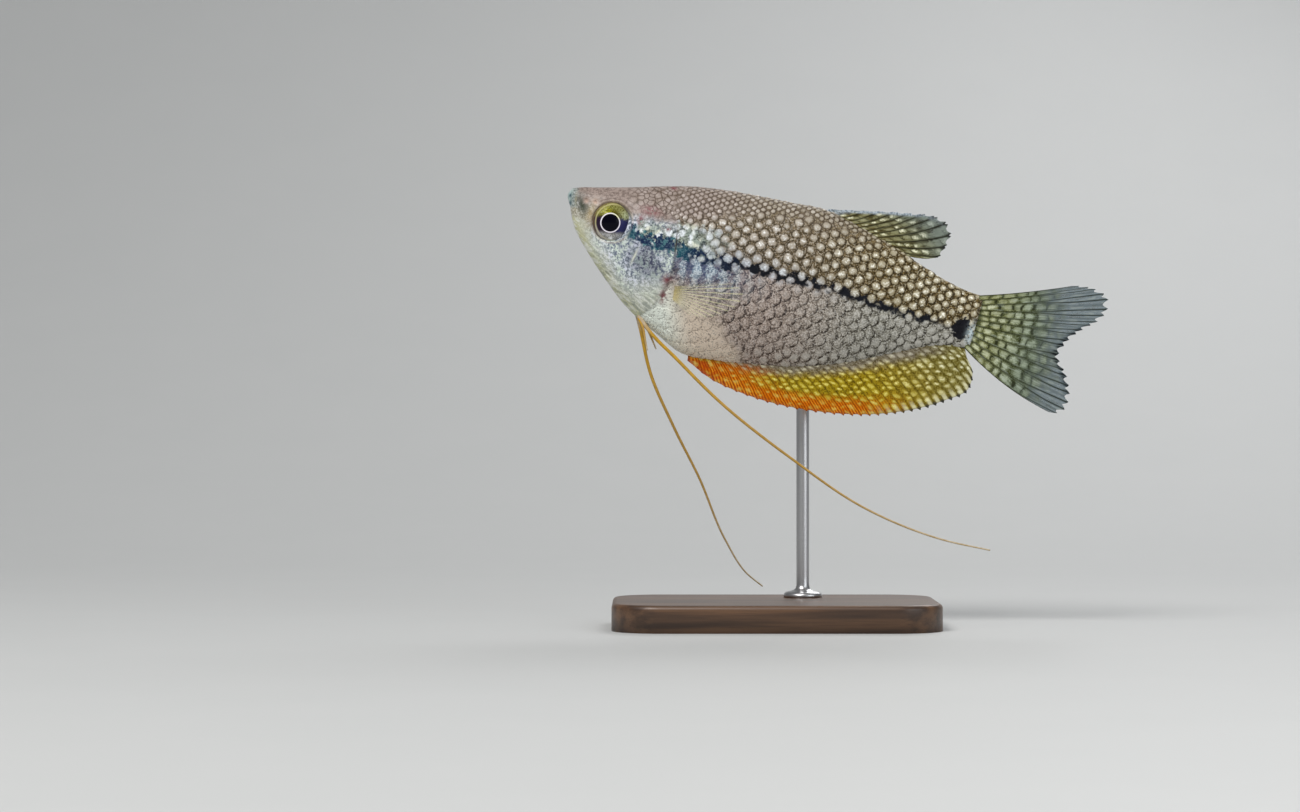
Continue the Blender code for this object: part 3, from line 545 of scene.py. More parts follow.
turn = np.linspace(0, 2 * math.pi, 200, endpoint=False)
lips_end, head_end = 4.0, 23.0
station = np.concatenate([np.linspace(0.06, lips_end, 64, endpoint=False),
                          np.linspace(lips_end, head_end, 136, endpoint=False),
                          np.linspace(head_end, BODY_LENGTH + 0.3, 160)])
station, share = np.meshgrid(station, np.sin(turn), indexing="ij")
height, half = section(station, share, -COAT_DEPTH)
level = np.stack([station, np.where(np.cos(turn) >= 0, half, -half), height], axis=-1)
wrapped = np.concatenate([level[:, -1:], level, level[:, :1]], axis=1)
outward = np.cross(np.gradient(wrapped, axis=1)[:, 1:-1], np.gradient(level, axis=0))
outward /= np.maximum(np.linalg.norm(outward, axis=-1, keepdims=True), 1e-9)
level = level + outward * relief(station, height, share)[..., None]
ends = posed([level[0].mean(axis=0), level[-1].mean(axis=0)])
skin = grid_mesh("skin", posed(level), around=True, poles=ends,
                 values=(("behind_gill", station - smooth_curve(GILL_EDGE, height)),
                         ("over_keel", height - along(BELLY, station))))

paint = Finish("hide", coat_roughness=0.2, ior=1.26, coat_ior=1.35)
place = paint.place()
colour, fine = hide_colour(paint, place, *paint.side_view(place))[:2]
paint.feed(base_color=colour, roughness=0.34 + fine * 0.2, coat_weight=0.1 + fine * 0.3)
paint.relief(paint.cells(place, 1.0, "DISTANCE_TO_EDGE").step(0.0, 0.25) * 0.6 + fine * 0.6, 0.5, 0.00012)
skin.data.materials.append(paint.material)
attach(skin, "root")
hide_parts("head", "trunk", "tail_stalk")


# Scales: overlapping bony plates from the gill cover to the tail, rooted in the hide and free behind.
# Each is a thin domed disc; a pearl spot sits on its bare middle and a dark edge shows round it.
COLUMN_STEP = 1.7
ROW_STEP = 2.6
SCALE_REACH = 1.78
SCALE_HALF_HEIGHT = 1.56
SCALE_TILT = 0.042
SCALE_DOME = 0.03
SCALE_THICK = 0.05
SIZE_ALONG = ((12.0, 0.44), (17.0, 0.54), (22.0, 0.7), (28.0, 0.9), (34.0, 1.0), (55.0, 0.96), (70.0, 0.84),
              (79.5, 0.74))
STRIPE = ((12.0, -3.9), (19.0, -4.6), (26.0, -4.65), (36.0, -4.15), (47.0, -3.7), (57.0, -3.9), (62.0, -4.15),
          (80.0, -4.15))
CROWDING = 0.045
FINE_SIZE = ((12.0, 0.42), (20.0, 0.46), (40.0, 0.52), (64.0, 0.6))
FINE_DEPTH = ((12.0, 9.0), (20.0, 6.5), (28.0, 4.8), (37.0, 3.0), (50.0, 2.0), (62.0, 0.6), (80.0, 0.4))
PATCH = 0.003
rng = np.random.default_rng(5)

flank_stations = np.linspace(8.0, 79.4, 180)
flank_girths = np.linspace(-26.0, 24.0, 401)
angles = np.linspace(-math.pi / 2, math.pi / 2, 241)
flank_share = []
for here in flank_stations:
    up, out = section(np.full(angles.shape, here), np.sin(angles), -COAT_DEPTH)
    girth = np.concatenate([[0.0], np.cumsum(np.hypot(np.diff(up), np.diff(out)))])
    girth -= np.interp(LATERAL_LINE, up, girth)
    flank_share.append(np.interp(flank_girths, girth, np.sin(angles)))
flank_share = np.array(flank_share)


def share_at(station, girth):
    """Share of the height at a station and a distance round the body from the lateral line.

    It is read from the table flank_share, in proportion between the four entries round the place.
    """
    cells, parts = [], []
    for value, marks in ((station, flank_stations), (girth, flank_girths)):
        exact = np.clip((value - marks[0]) / (marks[1] - marks[0]), 0, len(marks) - 1.001)
        cells.append(exact.astype(int))
        parts.append(exact - cells[-1])
    (i, j), (a, b) = cells, parts
    low = flank_share[i, j] * (1 - b) + flank_share[i, j + 1] * b
    high = flank_share[i + 1, j] * (1 - b) + flank_share[i + 1, j + 1] * b
    return low * (1 - a) + high * a


def on_flank(station, girth, lift):
    """Points on the left flank (y below 0) at a station and girth, lifted along the surface's normal, and
    their share of the height."""
    def bare(s, g):
        share = np.clip(share_at(s, g), -0.9995, 0.9995)
        up, out = section(s, share, -COAT_DEPTH)
        return np.stack([s, -out, up], axis=-1), share
    small = 0.12
    here, share = bare(station, girth)
    normal = np.cross(bare(station + small, girth)[0] - bare(station - small, girth)[0],
                      bare(station, girth + small)[0] - bare(station, girth - small)[0])
    normal /= np.maximum(np.linalg.norm(normal, axis=-1, keepdims=True), 1e-9)
    return here + normal * lift[..., None], share


FIRST_COLUMN = 13.2
centres = []
for small, sizes, crowding, rows, last in ((0, SIZE_ALONG, CROWDING, range(-16, 22), 77.9),
                                           (1, FINE_SIZE, 0.0, range(1, 20), 63.0)):
    column, ahead = 0, FIRST_COLUMN
    while ahead < last:
        size = float(smooth_curve(sizes, ahead))
        for row in rows:
            turns = row + 0.25 + 0.5 * (column % 2)
            crowded = 1 - crowding * max(turns, 0.0)
            girth = float(smooth_curve(STRIPE, ahead)) - LATERAL_LINE
            girth += size * ROW_STEP * turns * 0.5 * (1 + crowded)
            centres.append((ahead + 0.08 * row * size, girth, size * (0.25 + 0.75 * crowded), small))
        column += 1
        ahead += COLUMN_STEP * size
centres = np.array(centres)
jitter = rng.normal(0.0, 1.0, (len(centres), 4))
uneven_below, uneven_above = 0.17, 0.06
centres[:, :2] += np.where(centres[:, 1:2] < -1.5, uneven_below, uneven_above) * jitter[:, :2]
NAPE_LINE = (2.5, 0.25, 13.0)
centre_share = share_at(centres[:, 0], centres[:, 1])
centre_height = section(centres[:, 0], centre_share)[0]
behind_gill = centres[:, 0] - smooth_curve(GILL_EDGE, centre_height)
nape = centre_height > NAPE_LINE[0] - NAPE_LINE[1] * (centres[:, 0] - NAPE_LINE[2])
fine_zone = centre_height > along(BACK, centres[:, 0]) - smooth_curve(FINE_DEPTH, centres[:, 0])
kept = (np.abs(centre_share) < 0.9985) & ((behind_gill > 1.3) | nape) & (centres[:, 3] == fine_zone)
centres, tones = centres[kept, :3], 0.5 + 0.22 * jitter[kept, 2]

PEARL_PLACE = 0.62
PEARL_RADIUS = 0.8
SIDES = 16
EDGE_RING = 0.84
turn = np.linspace(0, 2 * math.pi, SIDES, endpoint=False)
ring = np.stack([np.cos(turn), np.sin(turn)], axis=-1)
outer = ring * (SCALE_REACH, SCALE_HALF_HEIGHT)
pearl = np.array([PEARL_PLACE, 0.0])
disc = np.concatenate([pearl[None], pearl + 0.5 * PEARL_RADIUS * ring, pearl + PEARL_RADIUS * ring,
                       0.5 * (pearl + PEARL_RADIUS * ring) + 0.5 * EDGE_RING * outer, EDGE_RING * outer,
                       outer, outer])
disc_reach = np.hypot(disc[:, 0] / SCALE_REACH, disc[:, 1] / SCALE_HALF_HEIGHT)
disc_pearl = np.maximum(1 - (np.hypot(disc[:, 0] - PEARL_PLACE, disc[:, 1]) / PEARL_RADIUS) ** 2, 0.0)
disc_lift = 0.05 + SCALE_TILT * disc[:, 0] + SCALE_DOME * (1 - disc_reach ** 2)
disc_lift[-SIDES:] -= SCALE_THICK + 0.03
PATCH_SHIFTS = {"pearl": (0.0, 0.0), "ground": (0.0045, 0.0), "edge": (0.0, 0.0045)}
faces_of, patch_of = [], []
for here, patch in enumerate(("pearl", "pearl", "ground", "ground", "edge", "edge")):
    for i in range(SIDES):
        j = (i + 1) % SIDES
        inner, outer = 1 + SIDES * (here - 1), 1 + SIDES * here
        faces_of.append((inner + i, outer + i, outer + j, inner + j) if here else (0, 1 + i, 1 + j))
        patch_of.append(patch)
faces_of.append(tuple(range(len(disc) - 1, len(disc) - 1 - SIDES, -1)))
patch_of.append("ground")


def scale_coat(name, side):
    """All the plates of one side: each plate's points are its centre plus the shared disc, bent to the flank.

    In the map OFBake a plate's pearl, ground and edge are small patches at its root's place, which is
    its station and its distance round the body, tail to the right.
    """
    ahead = centres[:, :1] + disc[:, 0] * centres[:, 2:]
    girth = centres[:, 1:2] + disc[:, 1] * centres[:, 2:]
    pearly = eased(girth, -0.8, 0.8) * eased(ahead, 14.0, 30.0)
    lift = disc_lift * np.sqrt(centres[:, 2:]) * (0.4 + 0.6 * pearly) + 0.1 * disc_pearl * pearly
    bare, share = on_flank(ahead, girth, lift)
    lift = lift + np.maximum(relief(ahead, bare[..., 2], share), 0.0)
    points = on_flank(ahead, girth, lift)[0]
    height = points[..., 2]
    points[..., 1] *= -side
    count, per = ahead.shape
    turned = [np.array(face if side < 0 else face[::-1]) for face in faces_of]
    shifts = np.concatenate([np.tile(PATCH_SHIFTS[patch], (len(face), 1))
                             for patch, face in zip(patch_of, turned)])
    first = per * np.arange(count)[:, None]
    faces = [row for plate in zip(*((face + first).tolist() for face in turned)) for row in plate]
    root = np.stack([centres[:, 0] / 90.0 + 0.05, 0.5 + centres[:, 1] / 60.0], axis=-1)
    patches = root[:, None] + (disc[np.concatenate(turned)] / (2 * SCALE_REACH) * PATCH + shifts)[None]
    return solid(name, posed(points).reshape(-1, 3), faces,
                 (("plate", np.broadcast_to(disc, (count, per, 2))), ("OFBake", patches)),
                 (("tone", np.repeat(tones[:, None], per, axis=1)),
                  ("reach", np.broadcast_to(disc_reach, ahead.shape)),
                  ("behind_gill", ahead - smooth_curve(GILL_EDGE, height)),
                  ("over_keel", height - along(BELLY, ahead))))


paint = Finish("scales", coat_roughness=0.18, ior=1.24, coat_ior=1.4)
place = paint.place()
station, height = paint.side_view(place)
a, b = paint.own("plate")
reach, tone = paint.number("reach"), paint.number("tone")
warp = paint.noise(place, 1.1, 2.0).stray(0.9)
other_warp = paint.noise(place, 1.6, 2.0).stray(0.9)
from_pearl = paint.reach((a - PEARL_PLACE + warp) / PEARL_RADIUS, (b + other_warp) / PEARL_RADIUS)
broken = paint.noise(place, 0.75, 3.0).step(0.42, 0.56)
low = (height + 4.6).drop(-1.0, 1.0)
rim = (reach + warp * (0.36 + low * 0.26) + paint.noise(place, 2.2, 2.0).stray(0.4)).step(0.76, 0.88)
rim = rim * (0.25 + 0.75 * a.step(0.3, 1.1)) * (1 - low * 0.45 * b.step(-0.1, 0.9))
rim = rim * (0.56 + 0.44 * broken) * (1 - low * (1 - broken) * 0.2)
colour, fine, halo, core_and_glint = hide_colour(paint, place, station, height, (from_pearl, rim, tone))
paint.feed(base_color=colour, roughness=0.42 - core_and_glint * 0.14, coat_weight=0.05 + core_and_glint * 0.4,
           metallic=core_and_glint * 0.1)
paint.relief(fine + halo * 0.3, 0.6, 0.0001)
for name, side in (("scales_left", -1), ("scales_right", 1)):
    coat = scale_coat(name, side)
    coat.data.materials.append(paint.material)
    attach(coat, "root")


# Eyes: lens-shaped balls of resin in their sockets, painted and lacquered. A black pupil in a raised silver
# ring, a gold iris that darkens at its sides and pales below, and a thin brown rim.
EYE_HALF_DEPTH = 2.0
EYE_SUNK = 1.55
PUPIL = (-0.66, -0.27, 1.6)


def eye_ball(name, side):
    """An ellipsoid of rings round the depth axis, turned with the face; the map eye is millimetres
    tailwards and up from its middle."""
    polar = np.linspace(0.0, math.pi, 66)[1:-1, None]
    turn = np.linspace(0, 2 * math.pi, 96, endpoint=False)[None]
    a = EYE_RADIUS * np.sin(polar) * np.cos(turn)
    b = EYE_RADIUS * np.sin(polar) * np.sin(turn)
    from_pupil = np.hypot(a - PUPIL[0], b - PUPIL[1])
    raised_ring = 0.07 * bump(from_pupil - PUPIL[2] - 0.2, 0.16)
    lip = np.where(np.cos(polar) > 0, raised_ring, 0.0)
    depth = EYE_HALF_DEPTH * np.cos(polar) + lip
    slant = side * EYE_TURN
    surface = float(half_width_at(*EYE_CENTRE)) + GILL_COVER_RISE * float(eased(EYE_CENTRE[0], 6, 15))

    def placed(a, b, depth):
        depth = depth * side
        return np.stack([EYE_CENTRE[0] + a * math.cos(slant) - depth * math.sin(slant),
                         side * (surface - EYE_SUNK) + a * math.sin(slant) + depth * math.cos(slant),
                         EYE_CENTRE[1] + b], axis=-1)
    grid = placed(a, b, depth)[:, ::-side]
    ends = [posed(placed(0.0, 0.0, EYE_HALF_DEPTH)), posed(placed(0.0, 0.0, -EYE_HALF_DEPTH))]
    return grid_mesh(name, posed(grid), around=True, poles=ends,
                     maps=(("eye", np.stack([a, b], axis=-1)[:, ::-side]),))


paint = Finish("eye_lacquer", roughness=0.3, coat_weight=0.45, coat_roughness=0.03, coat_ior=1.22, ior=1.12)
a, b = paint.own("eye")
grain = paint.noise(paint.place(), 4.0, 4.0)
from_middle = paint.reach(a, b)
from_pupil = paint.reach(a - PUPIL[0], b - PUPIL[1])
above = (b - 0.8 - a * 0.147 + grain.stray(1.2)).step(-0.35, 0.35)
below = (b + 1.95 - a * 0.22 + grain.stray(1.0)).drop(-0.45, 0.45)
olive = paint.over(
    paint.mix((from_pupil - 1.9).step(-0.1, 1.1) * grain.step(0.32, 0.56), (0.062, 0.052, 0.0),
              (0.24, 0.235, 0.075)),
    ((a + 1.9).bell(1.0) * (b - 1.5).bell(0.8) * grain.step(0.35, 0.6), (0.36, 0.35, 0.006)),
    ((a - 2.0).bell(0.9) * (b - 1.9).bell(0.9) * grain.step(0.35, 0.55), (0.56, 0.62, 0.38)))
gold_line = (from_middle - 3.3).bell(0.11) * (0.85 - (a * 0.3 + b * 0.05).step(-0.2, 0.9) * 0.65)
silver_ring = (abs(from_pupil - PUPIL[2] - 0.13) - 0.08).drop(-0.04, 0.07)
iris = paint.over(
    paint.mix(above, a.between(-0.5, 1.5, (0.022, 0.012, 0.03), (0.03, 0.032, 0.11)), olive),
    (below * 0.95, grain.between(0.38, 0.6, (0.22, 0.215, 0.19), (0.56, 0.55, 0.56))),
    # Painted highlight: a small white glint low on the iris.
    ((a - 0.3).bell(0.35) * (b + 2.95).bell(0.25), (0.9, 0.9, 0.92)),
    (gold_line, (0.48, 0.43, 0.21)),
    ((from_middle - 3.28).bell(0.12) * (b + 1.4).drop(-1.0, 0.6) * 0.7, (0.56, 0.52, 0.48)),
    (from_middle.step(3.48, 3.58) * 0.75, (0.17, 0.11, 0.065)),
    (silver_ring, paint.mix(above * (a + 0.8).step(-0.5, 1.5), (0.9, 0.85, 0.93), (0.86, 0.86, 0.45))),
    (from_pupil.drop(PUPIL[2] - 0.06, PUPIL[2] + 0.04), (0.0015, 0.0012, 0.005)))
paint.feed(base_color=iris)
for name, side in (("eye_left", -1), ("eye_right", 1)):
    ball = eye_ball(name + "_ball", side)
    ball.data.materials.append(paint.material)
    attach(ball, "root")
    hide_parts(name)


# Anal fin: a long fringe of soft rays in a thin web, orange along its front and lower edge and olive gold
# above, with rows of pearls between the rays. Cast in clear resin and painted through.
def through(knots):
    """A smooth line through a few points, by its share of the way along."""
    points = np.asarray(knots, float)
    way = np.concatenate([[0.0], np.cumsum(np.linalg.norm(np.diff(points, axis=0), axis=1))])
    way /= way[-1]

    def line(share):
        axes = [smooth_curve(np.stack([way, values], axis=-1), share) for values in points.T]
        return np.stack(axes, axis=-1)
    return line


def rooted(outline, start, end, depth):
    """A fin's root line: the body's outline from one station to another, moved depth upwards."""
    def line(share):
        station = start + (end - start) * share
        return np.stack([station, along(outline, station) + depth], axis=-1)
    return line


def fin_sheet(name, root, edge, rays, rows, ray_height, flesh, bend, sway=None, fork=0.0, notch=0.03):
    """A closed sheet between a root line and an edge line, both by share across the fin.

    Each ray stands out of both faces as a bell curve over the distance to it, in ray steps; a forked
    ray parts into two bells that drift apart. Rays bow by bend times their length. The sheet thins
    towards the edge, is thicker by flesh at its root, and stops short by notch between rays. Sway gives
    its place from side to side. The map fin is ray number and millimetres along, and the number edge is
    millimetres left to the tip.
    """
    steps = 8
    number = np.linspace(0, rays - 1, (rays - 1) * steps + 1)
    share = number / (rays - 1)
    off = np.abs(number - np.round(number))[:, None]
    start = root(share)
    run = edge(share) - start
    length = np.linalg.norm(run, axis=1)[:, None]
    reach = np.linspace(0.0, 1.0, rows)[None]
    spread = fork * eased(reach, 0.45, 0.95)
    crest = np.maximum(bump(off - spread, 0.11), bump(off + spread, 0.11))
    out = reach * (1 - notch * (1 - bump(off - fork, 0.14)))
    square = np.stack([run[:, 1], -run[:, 0]], axis=-1)
    bow = np.broadcast_to(bend(share) if callable(bend) else bend, share.shape)[:, None]
    line = start[:, None] + run[:, None] * out[..., None]
    line = line + square[:, None] * (bow * 4 * out * (1 - out))[..., None]
    web = 0.16 - 0.08 * out
    half = 0.5 * (web + (ray_height * (1 - 0.75 * out) - web) * crest)
    half = half + 0.5 * flesh * (1 - eased(out, 0.0, 0.3))
    middle = sway(line[..., 0]) if sway else 0.0
    sheets = [np.stack([line[..., 0], middle + side * half, line[..., 1]], axis=-1) for side in (-1, 1)]
    count = out.size
    index = np.arange(count).reshape(out.shape)
    quads = np.stack([index[:-1, :-1], index[1:, :-1], index[1:, 1:], index[:-1, 1:]], axis=-1).reshape(-1, 4)
    border = np.concatenate([index[0], index[1:, -1], index[-1, -2::-1], index[-2:0:-1, 0]])
    following = np.roll(border, -1)
    rim = np.stack([border, following, following + count, border + count], axis=-1)
    along_ray = out * length
    own = np.stack([np.broadcast_to(number[:, None], out.shape), along_ray], axis=-1)
    return solid(name, posed(np.stack(sheets)).reshape(-1, 3),
                 np.concatenate([quads, quads[:, ::-1] + count, rim]).tolist(),
                 (("fin", np.stack([own, own])),), (("edge", np.stack([length - along_ray] * 2)),))


def lattice(paint, spacing, ray_step, jitter):
    """Cells between the rays, a half step apart in neighbouring gaps: offsets from the cell's middle in
    millimetres across and along, the ray number, millimetres along, and two random numbers of the cell."""
    ray, out = paint.own("fin")
    gap = paint.sum("FLOOR", ray)
    odd = paint.sum("MODULO", gap, 2.0)
    drawn = paint.node("ShaderNodeTexWhiteNoise", {}, {"Vector": paint.vector(gap, 0.5)})
    wander = paint.noise(paint.place(), 0.35, 1.0).stray(jitter)
    turn = out / spacing + odd * 0.5 + wander + drawn.stray(0.35)
    cell = paint.sum("FLOOR", turn)
    lot = paint.node("ShaderNodeTexWhiteNoise", {}, {"Vector": paint.vector(gap, cell)})
    other = paint.sum("FRACT", lot * 7.31)
    return (ray - gap - 0.5) * ray_step, (turn - cell - 0.5) * spacing, ray, out, lot, other


ANAL_EDGE = through(((29.6, -23.6), (34.2, -25.6), (42.6, -26.9), (55.8, -26.2), (67.1, -23.4), (76.9, -18.3),
                     (81.1, -14.4), (80.7, -11.0), (78.9, -9.1)))
anal_fin = fin_sheet("anal_fin", rooted(BELLY, start=29.2, end=77.6, depth=1.0),
                     lambda share: ANAL_EDGE(share ** 0.8), rays=36, rows=44, ray_height=0.52, flesh=0.7,
                     bend=-0.04, notch=0.035)

paint = Finish("anal_web", roughness=0.45, ior=1.16)
across, spot, ray, out, lot, other = lattice(paint, spacing=1.5, ray_step=1.45, jitter=1.5)
place, left = paint.place(), paint.number("edge")
cloud, grain = paint.noise(place, 0.8, 3.0), paint.grain(paint.noise(place, 3.0, 3.0), place)
orange = (left + cloud.stray(2.4)).drop(2.2, 5.6) * ray.drop(16.0, 25.0)
orange = paint.most(orange, (ray + cloud.stray(3.0)).drop(4.0, 12.0) * out.step(0.2, 2.0))
sheath = (out + cloud.stray(3.0)).drop(1.2, 4.4) * ray.step(2.0, 7.0) * ray.drop(28.0, 34.0)
ground = ray.between(19.0, 31.0, (0.235, 0.15, 0.002), (0.135, 0.108, 0.014))
ground = paint.mix(sheath * 0.92, ground, (0.165, 0.14, 0.1))
soft = ray.between(20.0, 33.0, (0.44, 0.335, 0.018), (0.35, 0.325, 0.125))
soft = paint.mix(sheath * 0.92, soft, (0.34, 0.305, 0.25))
streak = abs(paint.sum("FRACT", ray * 3.0 + cloud * 0.8) - 0.5) * 2.0 + grain.stray(1.5)
flame = paint.over(
    streak.between(0.15, 0.6, (0.3, 0.045, 0.0), (0.54, 0.135, 0.0)),
    ((streak + lot.stray(0.5)).step(0.75, 1.0) * 0.8, (0.76, 0.33, 0.022)),
    (ray.drop(1.0, 5.0) * cloud.step(0.35, 0.55) * 0.6, (0.34, 0.028, 0.004)))
oval = paint.reach((across + lot.stray(0.55)) / 0.56, (spot + other.stray(0.85)) / 0.47) / (0.74 + lot * 0.5)
oval = oval + grain.stray(3.0)
pearl = oval.drop(-0.05, 0.95) * (0.95 - orange * 0.55) * (0.3 + other * 0.8)
pale = ray.between(20.0, 33.0, (0.78, 0.7, 0.2), (0.8, 0.8, 0.6))
line = (abs(across) - 0.67).bell(0.08) + (abs(across) - 0.46).bell(0.07) * oval.step(0.75, 1.05) * 0.4
line = line * (0.62 - orange * 0.3) * (1 - sheath * 0.5) * (0.35 + cloud)
ground = paint.over(
    grain.between(0.45, 0.57, ground, paint.mix(0.5, ground, soft)),
    (grain.drop(0.4, 0.48) * 0.7, (0.07, 0.045, 0.001)),
    (orange, flame),
    (oval.drop(0.7, 1.1) * (0.85 - orange * 0.6), soft),
    (pearl, paint.mix(sheath * 0.8, pale, (0.56, 0.53, 0.46))),
    (line, paint.mix(orange, (0.045, 0.032, 0.001), (0.12, 0.022, 0.0))),
    ((oval - 1.15).bell(0.16) * spot.step(0.0, 0.5) * sheath * 0.8, (0.05, 0.035, 0.018)),
    (left.drop(0.7, 2.6) * abs(across).drop(0.2, 0.5) * ray.step(17.0, 25.0) * 0.8, (0.7, 0.68, 0.44)),
    (left.drop(0.3, 1.2) * ray.step(17.0, 26.0) * abs(across).step(0.25, 0.5), (0.02, 0.02, 0.01)))
paint.feed(base_color=ground, roughness=0.5 - pearl * 0.15, alpha=1 - left.drop(0.2, 1.6) * 0.2)
anal_fin.data.materials.append(paint.material)
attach(anal_fin, "root")
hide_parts("fin_anal")


# Dorsal fin: short and folded back, of the same cast resin: olive with dark rays, pearls near its root and
# a bluish white leading edge.
DORSAL_EDGE = through(((46.9, 10.4), (52.7, 11.8), (58.0, 13.1), (62.3, 14.0), (65.9, 14.6), (68.7, 13.9),
                       (69.9, 12.3), (69.7, 9.8), (69.0, 7.6), (67.0, 6.6)))
dorsal_fin = fin_sheet("dorsal_fin", rooted(BACK, start=46.4, end=60.2, depth=-0.9),
                       lambda share: DORSAL_EDGE(share ** 0.85), rays=13, rows=44, ray_height=0.5, flesh=0.6,
                       bend=0.05, fork=0.14, notch=0.05)

paint = Finish("dorsal_web", roughness=0.45, ior=1.16)
across, spot, ray, out, lot, other = lattice(paint, spacing=1.8, ray_step=1.4, jitter=1.4)
place, left = paint.place(), paint.number("edge")
cloud, grain = paint.noise(place, 0.6, 2.0), paint.grain(paint.noise(place, 3.0, 3.0), place)
outer = (out + cloud.stray(3.0)).step(5.0, 13.0)
soft = paint.mix(outer, (0.26, 0.255, 0.135), (0.19, 0.23, 0.185))
tall = 0.44 + outer * 0.26
oval = paint.reach((across + lot.stray(0.5)) / tall, (spot + other.stray(1.0)) / 0.85) / (0.7 + lot * 0.45)
oval = oval + grain.stray(2.4)
streaks = paint.noise(paint.vector(ray * 3.2, out * 0.45), 1.0, 2.0)
dark = (abs(across) - 0.66).bell(0.11) + (abs(across) - 0.46).bell(0.06) * oval.step(0.8, 1.1) * 0.5
between_pearls = (abs(spot) - 0.86).bell(0.12) * abs(across).drop(0.3, 0.6) * (1 - outer) * 0.6
dark = paint.most(dark, between_pearls)
blade = (left + cloud.stray(1.0)).drop(0.5, 1.9) * ray.drop(5.0, 9.0)
blade = paint.most(blade, ray.drop(0.4, 1.8) * 0.9)
ground = paint.over(
    paint.mix(outer, (0.11, 0.092, 0.034), (0.09, 0.112, 0.09)),
    (out.drop(1.5, 5.0) * 0.7, (0.15, 0.1, 0.02)),
    (streaks.step(0.44, 0.6) * 0.85, soft),
    (streaks.drop(0.34, 0.46) * 0.7, (0.05, 0.046, 0.02)),
    (oval.drop(0.7, 1.15) * (0.4 + lot * 0.6), soft),
    (oval.drop(0.05, 0.85) * other.step(0.25, 0.8), paint.mix(outer, (0.9, 0.88, 0.64), (0.36, 0.41, 0.35))),
    (dark * 0.95, (0.014, 0.013, 0.006)),
    (blade * 0.85, grain.between(0.44, 0.56, (0.15, 0.185, 0.23), (0.48, 0.55, 0.62))),
    (left.drop(0.3, 1.0) * abs(across).step(0.3, 0.6) * ray.step(5.0, 8.0), (0.01, 0.01, 0.01)))
paint.feed(base_color=ground, alpha=1 - outer * (1 - dark * 0.7) * (1 - blade) * 0.3)
dorsal_fin.data.materials.append(paint.material)
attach(dorsal_fin, "root")
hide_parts("fin_dorsal")


# Tail fin: one fan of forked rays with a shallow notch, cast thin. Brick-like pale cells between the rays
# over its inner half, clear web with dark rays beyond, and black tips along the notch.
CAUDAL_ROOT = through(((79.0, 2.75), (79.1, -2.2), (79.0, -7.25)))
CAUDAL_EDGE = through(((94.6, 9.5), (98.4, 9.9), (101.1, 9.0), (101.7, 6.9), (100.9, 4.8), (98.4, 2.2),
                       (96.3, -0.5), (95.4, -2.7), (95.2, -3.9), (95.9, -5.0), (97.3, -6.4), (98.6, -8.5),
                       (99.4, -11.2), (98.9, -13.4), (97.2, -14.5)))
INTO_STALK = np.array([1.0, 0.0])
caudal_fin = fin_sheet("caudal_fin", lambda share: CAUDAL_ROOT(share) - INTO_STALK, CAUDAL_EDGE,
                       rays=12, rows=56, ray_height=0.5, flesh=1.1,
                       bend=lambda share: 0.015 * (1 - share) + 0.05 * share ** 3,
                       sway=lambda station: 0.0032 * np.maximum(station - BODY_LENGTH, 0.0) ** 2,
                       fork=0.22, notch=0.05)

paint = Finish("caudal_web", roughness=0.45, ior=1.16)
across, spot, ray, out, lot, other = lattice(paint, spacing=2.15, ray_step=1.85, jitter=1.2)
place, left = paint.place(), paint.number("edge")
cloud, grain = paint.noise(place, 0.6, 2.0), paint.grain(paint.noise(place, 3.0, 3.0), place)
warp = paint.noise(place, 0.9, 2.0).stray(1.2)
inner = (out + cloud.stray(7.0) - ray * 0.25).drop(8.0, 17.0)
top = (ray + cloud.stray(2.0)).drop(1.0, 2.6)
soft = out.between(3.0, 13.0, (0.215, 0.225, 0.092), (0.17, 0.21, 0.145))
light = out.between(2.0, 12.0, (0.6, 0.63, 0.42), (0.34, 0.395, 0.3))
aside, further = across + warp * 0.4 + lot.stray(0.3), spot + warp * 0.7 + other.stray(0.7)
brick = ((aside / 0.87) ** 2 + (further / 0.96) ** 2) ** 0.5 / (0.9 + lot * 0.18) + grain.stray(2.2)
crossbar = (abs(spot + warp * 0.4) - 1.0).bell(0.19) * abs(across).drop(0.35, 0.75)
crossbar = crossbar * (lot + cloud - 0.5).step(0.25, 0.6)
fray = out.step(8.0, 19.0)
rib = (abs(across) - 0.87 + fray * 0.34).bell(0.095)
rib = paint.most(rib, (abs(across) - 0.7 + fray * 0.6).bell(0.06) * (0.35 + inner * 0.1))
rib = paint.most(rib, across.bell(0.045) * out.step(2.0, 6.0) * 0.4)
streaks = paint.noise(paint.vector(ray * 4.5, out * 0.35), 1.0, 2.0)
ink = paint.most(crossbar * inner * out.step(0.5, 3.0) * 0.9, rib * (0.95 - 0.35 * inner))
tips = paint.most((abs(across) - 0.66).bell(0.15), (abs(across) - 0.28).bell(0.15))
tips = tips * left.drop(0.8, 1.9) * (abs(ray - 6.6) + cloud.stray(2.0)).drop(1.6, 3.4)
ground = paint.over(
    paint.mix(inner, (0.16, 0.212, 0.235), (0.046, 0.054, 0.014)),
    (grain.step(0.46, 0.56) * inner * 0.6, soft),
    (brick.drop(0.8, 1.06) * inner, soft),
    (brick.drop(0.25, 0.92) * inner * (1 - top * 0.6) * (0.45 + other * 0.55), light),
    (streaks.drop(0.34, 0.47) * 0.34, (0.06, 0.075, 0.05)),
    (streaks.step(0.54, 0.66) * 0.3, (0.42, 0.48, 0.42)),
    (ink, (0.014, 0.016, 0.006)),
    (tips, (0.004, 0.004, 0.008)),
    ((ray.bell(0.1) + (ray - 11.0).bell(0.06)) * 0.75, (0.05, 0.055, 0.045)))
paint.feed(base_color=ground, alpha=1 - (1 - inner) * (1 - ink) * (1 - tips) * 0.38)
caudal_fin.data.materials.append(paint.material)
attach(caudal_fin, "root")
